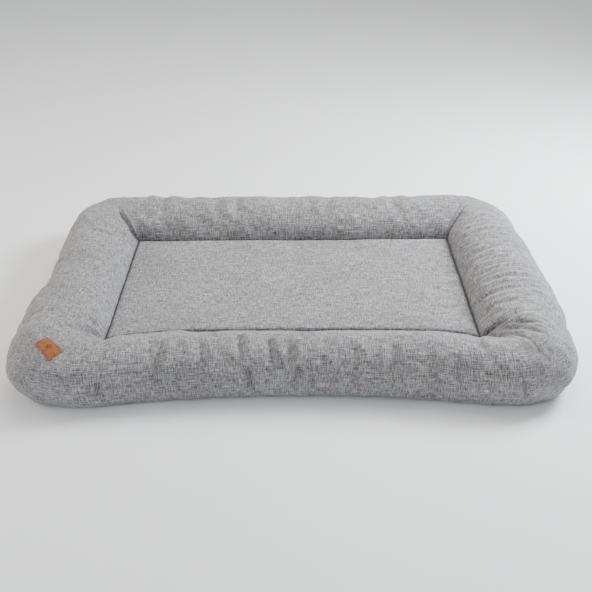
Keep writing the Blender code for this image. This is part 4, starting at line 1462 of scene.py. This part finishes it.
def weave(name, warp, weft, pitch, slub, raised, roughness, seam=False, **sockets):
    """A plain weave. warp and weft are colour stops, slub is how strong the thick yarns show.
    seam paints shade on the cloth beside the panel's seam.
    """
    material, tree, shader = start_finish(name, roughness, **sockets)
    place = yarn_place(tree)
    over = weave_over(tree, place, pitch)
    warp_yarn = stretched_noise(tree, place, pitch * 0.85, 0.014, 1.0, 3.1)
    weft_yarn = stretched_noise(tree, place, 0.020, pitch * 0.85, 1.0, 7.7)
    warp_slub = stretched_noise(tree, place, pitch * 1.4, 0.035, 1.0, 12.4)
    weft_slub = stretched_noise(tree, place, 0.090, pitch * 1.4, 1.0, 21.9)
    warp_value = mixed(tree, warp_yarn, warp_slub, slub)
    weft_value = mixed(tree, weft_yarn, weft_slub, slub)
    colour = blend(tree, over, tones(tree, weft_value, *weft), tones(tree, warp_value, *warp))
    # flecks: short pieces of darker yarn, both ways
    fleck = sums(tree, "MAXIMUM", stretched_noise(tree, place, pitch * 1.5, 0.011, 0.0, 31.0),
                 stretched_noise(tree, place, 0.013, pitch * 1.5, 0.0, 43.0))
    fleck = add(tree, "MapRange", {0: fleck, 1: 0.66, 2: 0.78, 3: 0.0, 4: 1.0}).outputs[0]
    colour = shaded(tree, colour, fleck, FLECK_TINT)
    # slow changes of tone, from handling and from the dye
    slow = add(tree, "TexNoise", {"Vector": place, "Scale": 7.0, "Detail": 3.0}, noise_dimensions="2D")
    worn = add(tree, "MapRange", {0: slow.outputs["Fac"], 1: 0.3, 2: 0.7, 3: 0.88, 4: 1.01}).outputs[0]
    grey = add(tree, "CombineColor", {0: worn, 1: worn, 2: worn}).outputs[0]
    colour = blend(tree, 1.0, colour, grey, "MULTIPLY")
    # painted shade along the panel's seam, darkest right at the seam
    if seam:
        colour = shaded(tree, colour, painted_seam_shade(tree, place), SEAM_SHADE_TINT)
    tree.links.new(colour, shader.inputs["Base Color"])
    least, most = roughness - 0.06, roughness + 0.06
    rough = add(tree, "MapRange", {0: weft_yarn, 1: 0.3, 2: 0.7, 3: least, 4: most})
    tree.links.new(rough.outputs[0], shader.inputs["Roughness"])
    slubs = [sums(tree, "MULTIPLY", value, SLUB_RISE) for value in (warp_slub, weft_slub)]
    height = sums(tree, "ADD", sums(tree, "ADD", *slubs), sums(tree, "MULTIPLY", over, 0.5))
    bump = add(tree, "Bump", {"Height": height, "Strength": 0.8, "Distance": raised})
    tree.links.new(bump.outputs["Normal"], shader.inputs["Normal"])
    return material


LINEN = weave(
    "slub_linen",
    warp=(
        (0.33, (0.020, 0.032, 0.085)),
        (0.44, (0.120, 0.146, 0.208)),
        (0.54, (0.265, 0.280, 0.305)),
        (0.66, (0.545, 0.555, 0.550)),
    ),
    weft=(
        (0.33, (0.070, 0.036, 0.020)),
        (0.44, (0.200, 0.160, 0.122)),
        (0.54, (0.300, 0.280, 0.248)),
        (0.66, (0.600, 0.565, 0.500)),
    ),
    pitch=0.0016,
    slub=0.32,
    raised=0.0004,
    # paints shade on the cloth beside the panel's seam
    seam=True,
    roughness=0.88,
    Sheen_Weight=0.18,
    Sheen_Roughness=0.45,
    Specular_IOR_Level=0.3,
)
BASE_CLOTH = weave(
    "base_canvas",
    warp=((0.3, (0.045, 0.046, 0.050)), (0.5, (0.075, 0.076, 0.082)), (0.7, (0.120, 0.120, 0.126))),
    weft=((0.3, (0.040, 0.040, 0.043)), (0.5, (0.068, 0.068, 0.072)), (0.7, (0.110, 0.110, 0.114))),
    pitch=0.0016,
    slub=0.25,
    raised=0.0005,
    roughness=0.85,
    Specular_IOR_Level=0.35,
)
LINER = weave(
    "liner_cotton",
    warp=((0.3, (0.62, 0.61, 0.58)), (0.5, (0.74, 0.73, 0.70)), (0.7, (0.82, 0.81, 0.79))),
    weft=((0.3, (0.60, 0.59, 0.56)), (0.5, (0.73, 0.72, 0.69)), (0.7, (0.83, 0.82, 0.80))),
    pitch=0.0008,
    slub=0.2,
    raised=0.0003,
    roughness=0.9,
    Sheen_Weight=0.1,
)
TAPE = weave(
    "tape_twill",
    warp=((0.3, (0.055, 0.056, 0.060)), (0.5, (0.090, 0.092, 0.098)), (0.7, (0.140, 0.142, 0.150))),
    weft=((0.3, (0.050, 0.051, 0.055)), (0.5, (0.085, 0.086, 0.092)), (0.7, (0.130, 0.132, 0.138))),
    pitch=0.0007,
    slub=0.2,
    raised=0.0002,
    roughness=0.75,
    Sheen_Weight=0.1,
)

# %% [markdown]
# ## Leather, foam, fibre, nylon, zinc and thread
# The other finishes use the object's own coordinates, because their grain has no direction that
# matters. Leather has fine cells with darker hollows, and darkens where the tool pressed it.

# %% The other finishes


def grain(tree, scale, detail=3.0, kind="TexNoise"):
    """A texture that is fixed to the object."""
    where = add(tree, "TexCoord").outputs["Object"]
    texture = add(tree, kind, {"Vector": where, "Scale": scale})
    if kind == "TexNoise":
        texture.inputs["Detail"].default_value = detail
    return texture.outputs[0]


def relief(tree, shader, height, distance, strength=0.6):
    """Gives a finish fine relief."""
    bump = add(tree, "Bump", {"Height": height, "Strength": strength, "Distance": distance})
    tree.links.new(bump.outputs["Normal"], shader.inputs["Normal"])


def spread(tree, value, low, high, out_low, out_high):
    """Stretches one range of values over another."""
    return add(tree, "MapRange", {0: value, 1: low, 2: high, 3: out_low, 4: out_high}).outputs[0]


def make_leather():
    material, tree, shader = start_finish("tan_leather", 0.6, Specular_IOR_Level=0.3)
    cells = grain(tree, 1500.0, kind="TexVoronoi")
    mottle = grain(tree, 90.0, 4.0)
    colour = tones(tree, mottle, (0.30, (0.235, 0.072, 0.020)), (0.5, (0.310, 0.098, 0.029)),
                   (0.72, (0.400, 0.140, 0.048)))
    pressed_in = add(tree, "Attribute", attribute_name="pressed").outputs["Fac"]
    darker = blend(tree, 1.0, colour, (0.42, 0.36, 0.34, 1.0), "MULTIPLY")
    colour = blend(tree, spread(tree, pressed_in, 0.2, 1.0, 0.0, 0.85), colour, darker)
    hollow = spread(tree, cells, 0.0, 0.6, 1.0, 0.82)
    grey = add(tree, "CombineColor", {0: hollow, 1: hollow, 2: hollow}).outputs[0]
    tree.links.new(blend(tree, 1.0, colour, grey, "MULTIPLY"), shader.inputs["Base Color"])
    tree.links.new(spread(tree, mottle, 0.3, 0.7, 0.52, 0.68), shader.inputs["Roughness"])
    relief(tree, shader, sums(tree, "ADD", cells, grain(tree, 500.0)), 0.00012)
    return material


def make_foam():
    material, tree, shader = start_finish("open_foam", 0.95, Specular_IOR_Level=0.2)
    pores = grain(tree, 700.0, kind="TexVoronoi")
    colour = tones(tree, pores, (0.1, (0.42, 0.37, 0.26)), (0.5, (0.70, 0.66, 0.54)))
    tree.links.new(colour, shader.inputs["Base Color"])
    relief(tree, shader, pores, 0.0006)
    return material


def make_fibre():
    material, tree, shader = start_finish("fibre_wadding", 0.95, Sheen_Weight=0.3)
    tufts = grain(tree, 60.0, 8.0)
    colour = tones(tree, tufts, (0.35, (0.66, 0.66, 0.65)), (0.6, (0.86, 0.86, 0.85)))
    tree.links.new(colour, shader.inputs["Base Color"])
    relief(tree, shader, sums(tree, "ADD", tufts, grain(tree, 400.0)), 0.002)
    return material


def make_nylon():
    material, tree, shader = start_finish("coil_nylon", 0.38, Specular_IOR_Level=0.5)
    patch = grain(tree, 300.0, 2.0)
    colour = tones(tree, patch, (0.35, (0.070, 0.072, 0.078)), (0.65, (0.110, 0.112, 0.120)))
    tree.links.new(colour, shader.inputs["Base Color"])
    tree.links.new(spread(tree, patch, 0.3, 0.7, 0.30, 0.46), shader.inputs["Roughness"])
    relief(tree, shader, grain(tree, 2500.0), 0.00003)
    return material


def make_zinc():
    material, tree, shader = start_finish("zinc_casting", 0.35, Metallic=1.0)
    wear = grain(tree, 260.0, 5.0)
    colour = tones(tree, wear, (0.34, (0.30, 0.30, 0.31)), (0.5, (0.45, 0.45, 0.46)),
                   (0.68, (0.62, 0.62, 0.62)))
    tree.links.new(colour, shader.inputs["Base Color"])
    tree.links.new(spread(tree, wear, 0.3, 0.7, 0.24, 0.50), shader.inputs["Roughness"])
    relief(tree, shader, grain(tree, 1800.0, 4.0), 0.00004)
    return material


def make_thread():
    material, tree, shader = start_finish("sewing_thread", 0.6, Sheen_Weight=0.2)
    twist = grain(tree, 1400.0, 2.0)
    colour = tones(tree, twist, (0.35, (0.27, 0.27, 0.28)), (0.65, (0.46, 0.46, 0.46)))
    tree.links.new(colour, shader.inputs["Base Color"])
    relief(tree, shader, twist, 0.0001)
    return material


def dress(finish, *objects):
    """Gives objects one finish in place of what they had."""
    for obj in objects:
        obj.data.materials.clear()
        obj.data.materials.append(finish)


ZINC = make_zinc()
dress(LINEN, cover, panel)
dress(BASE_CLOTH, base)
dress(LINER, pad_bag, divider, *pillows)
dress(make_foam(), pad_foam)
dress(make_fibre(), *pad_wadding)
dress(TAPE, *tapes)
dress(make_nylon(), *coils)
dress(make_leather(), label)
dress(make_thread(), zip_seam)
dress(ZINC, slider, pull)
STOPS = ("zip_top_stop_upper", "zip_top_stop_lower", "zip_bottom_stop")
dress(ZINC, *(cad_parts[name] for name in STOPS))
print("finishes:", sorted(m.name for m in bpy.data.materials))

# %% [markdown]
# ## Floor and light
# The bed stands on a plain pale floor in a bright studio. A soft lamp on the right and a broad one
# above shape the ring, a cool one at the front left fills the near side, and a weak warm one lifts
# the left. The sky gives the rest, so that no shadow is hard.

# %% Set the floor and the lamps
FLOOR_SIZE = 30.0
SKY_STRENGTH = 0.66
SKY_COLOUR = (0.96, 0.98, 1.0, 1.0)
# each lamp's name, place, size, power and colour
LAMPS = (
    ("key", (1.45, 0.55, 1.15), (0.7, 0.7), 74.0, (0.90, 0.95, 1.0)),
    ("top", (0.2, 0.9, 2.6), (2.6, 1.6), 42.0, (1.0, 0.98, 0.95)),
    ("cool fill", (-2.2, -1.9, 1.1), (0.9, 0.9), 21.0, (0.80, 0.89, 1.0)),
    ("warm left", (-2.1, 0.3, 0.8), (1.0, 1.0), 15.0, (1.0, 0.80, 0.60)),
)


def add_floor():
    half = FLOOR_SIZE / 2
    corners = [(-half, -half, 0), (half, -half, 0), (half, half, 0), (-half, half, 0)]
    floor = make_mesh("floor", corners, [(0, 1, 2, 3)])
    material, tree, shader = start_finish("pale_floor", 0.85, Specular_IOR_Level=0.2)
    soft = grain(tree, 1.2, 2.0)
    colour = tones(tree, soft, (0.3, (0.88, 0.88, 0.88)), (0.7, (0.92, 0.92, 0.92)))
    tree.links.new(colour, shader.inputs["Base Color"])
    floor.data.materials.append(material)
    return floor


def add_lamp(name, place, size, power, colour):
    """A large soft lamp that faces the bed."""
    data = bpy.data.lights.new(name, "AREA")
    data.shape = "RECTANGLE"
    data.size, data.size_y = size
    data.energy = power
    data.color = colour
    lamp = bpy.data.objects.new(name, data)
    lamp.location = place
    lamp.rotation_euler = (-Vector(place)).to_track_quat("-Z", "Y").to_euler()
    bpy.context.scene.collection.objects.link(lamp)


add_floor()
studio = bpy.data.worlds.new("studio")
studio.use_nodes = True
sky = studio.node_tree.nodes["Background"]
sky.inputs["Color"].default_value = SKY_COLOUR
sky.inputs["Strength"].default_value = SKY_STRENGTH
bpy.context.scene.world = studio
for lamp in LAMPS:
    add_lamp(*lamp)
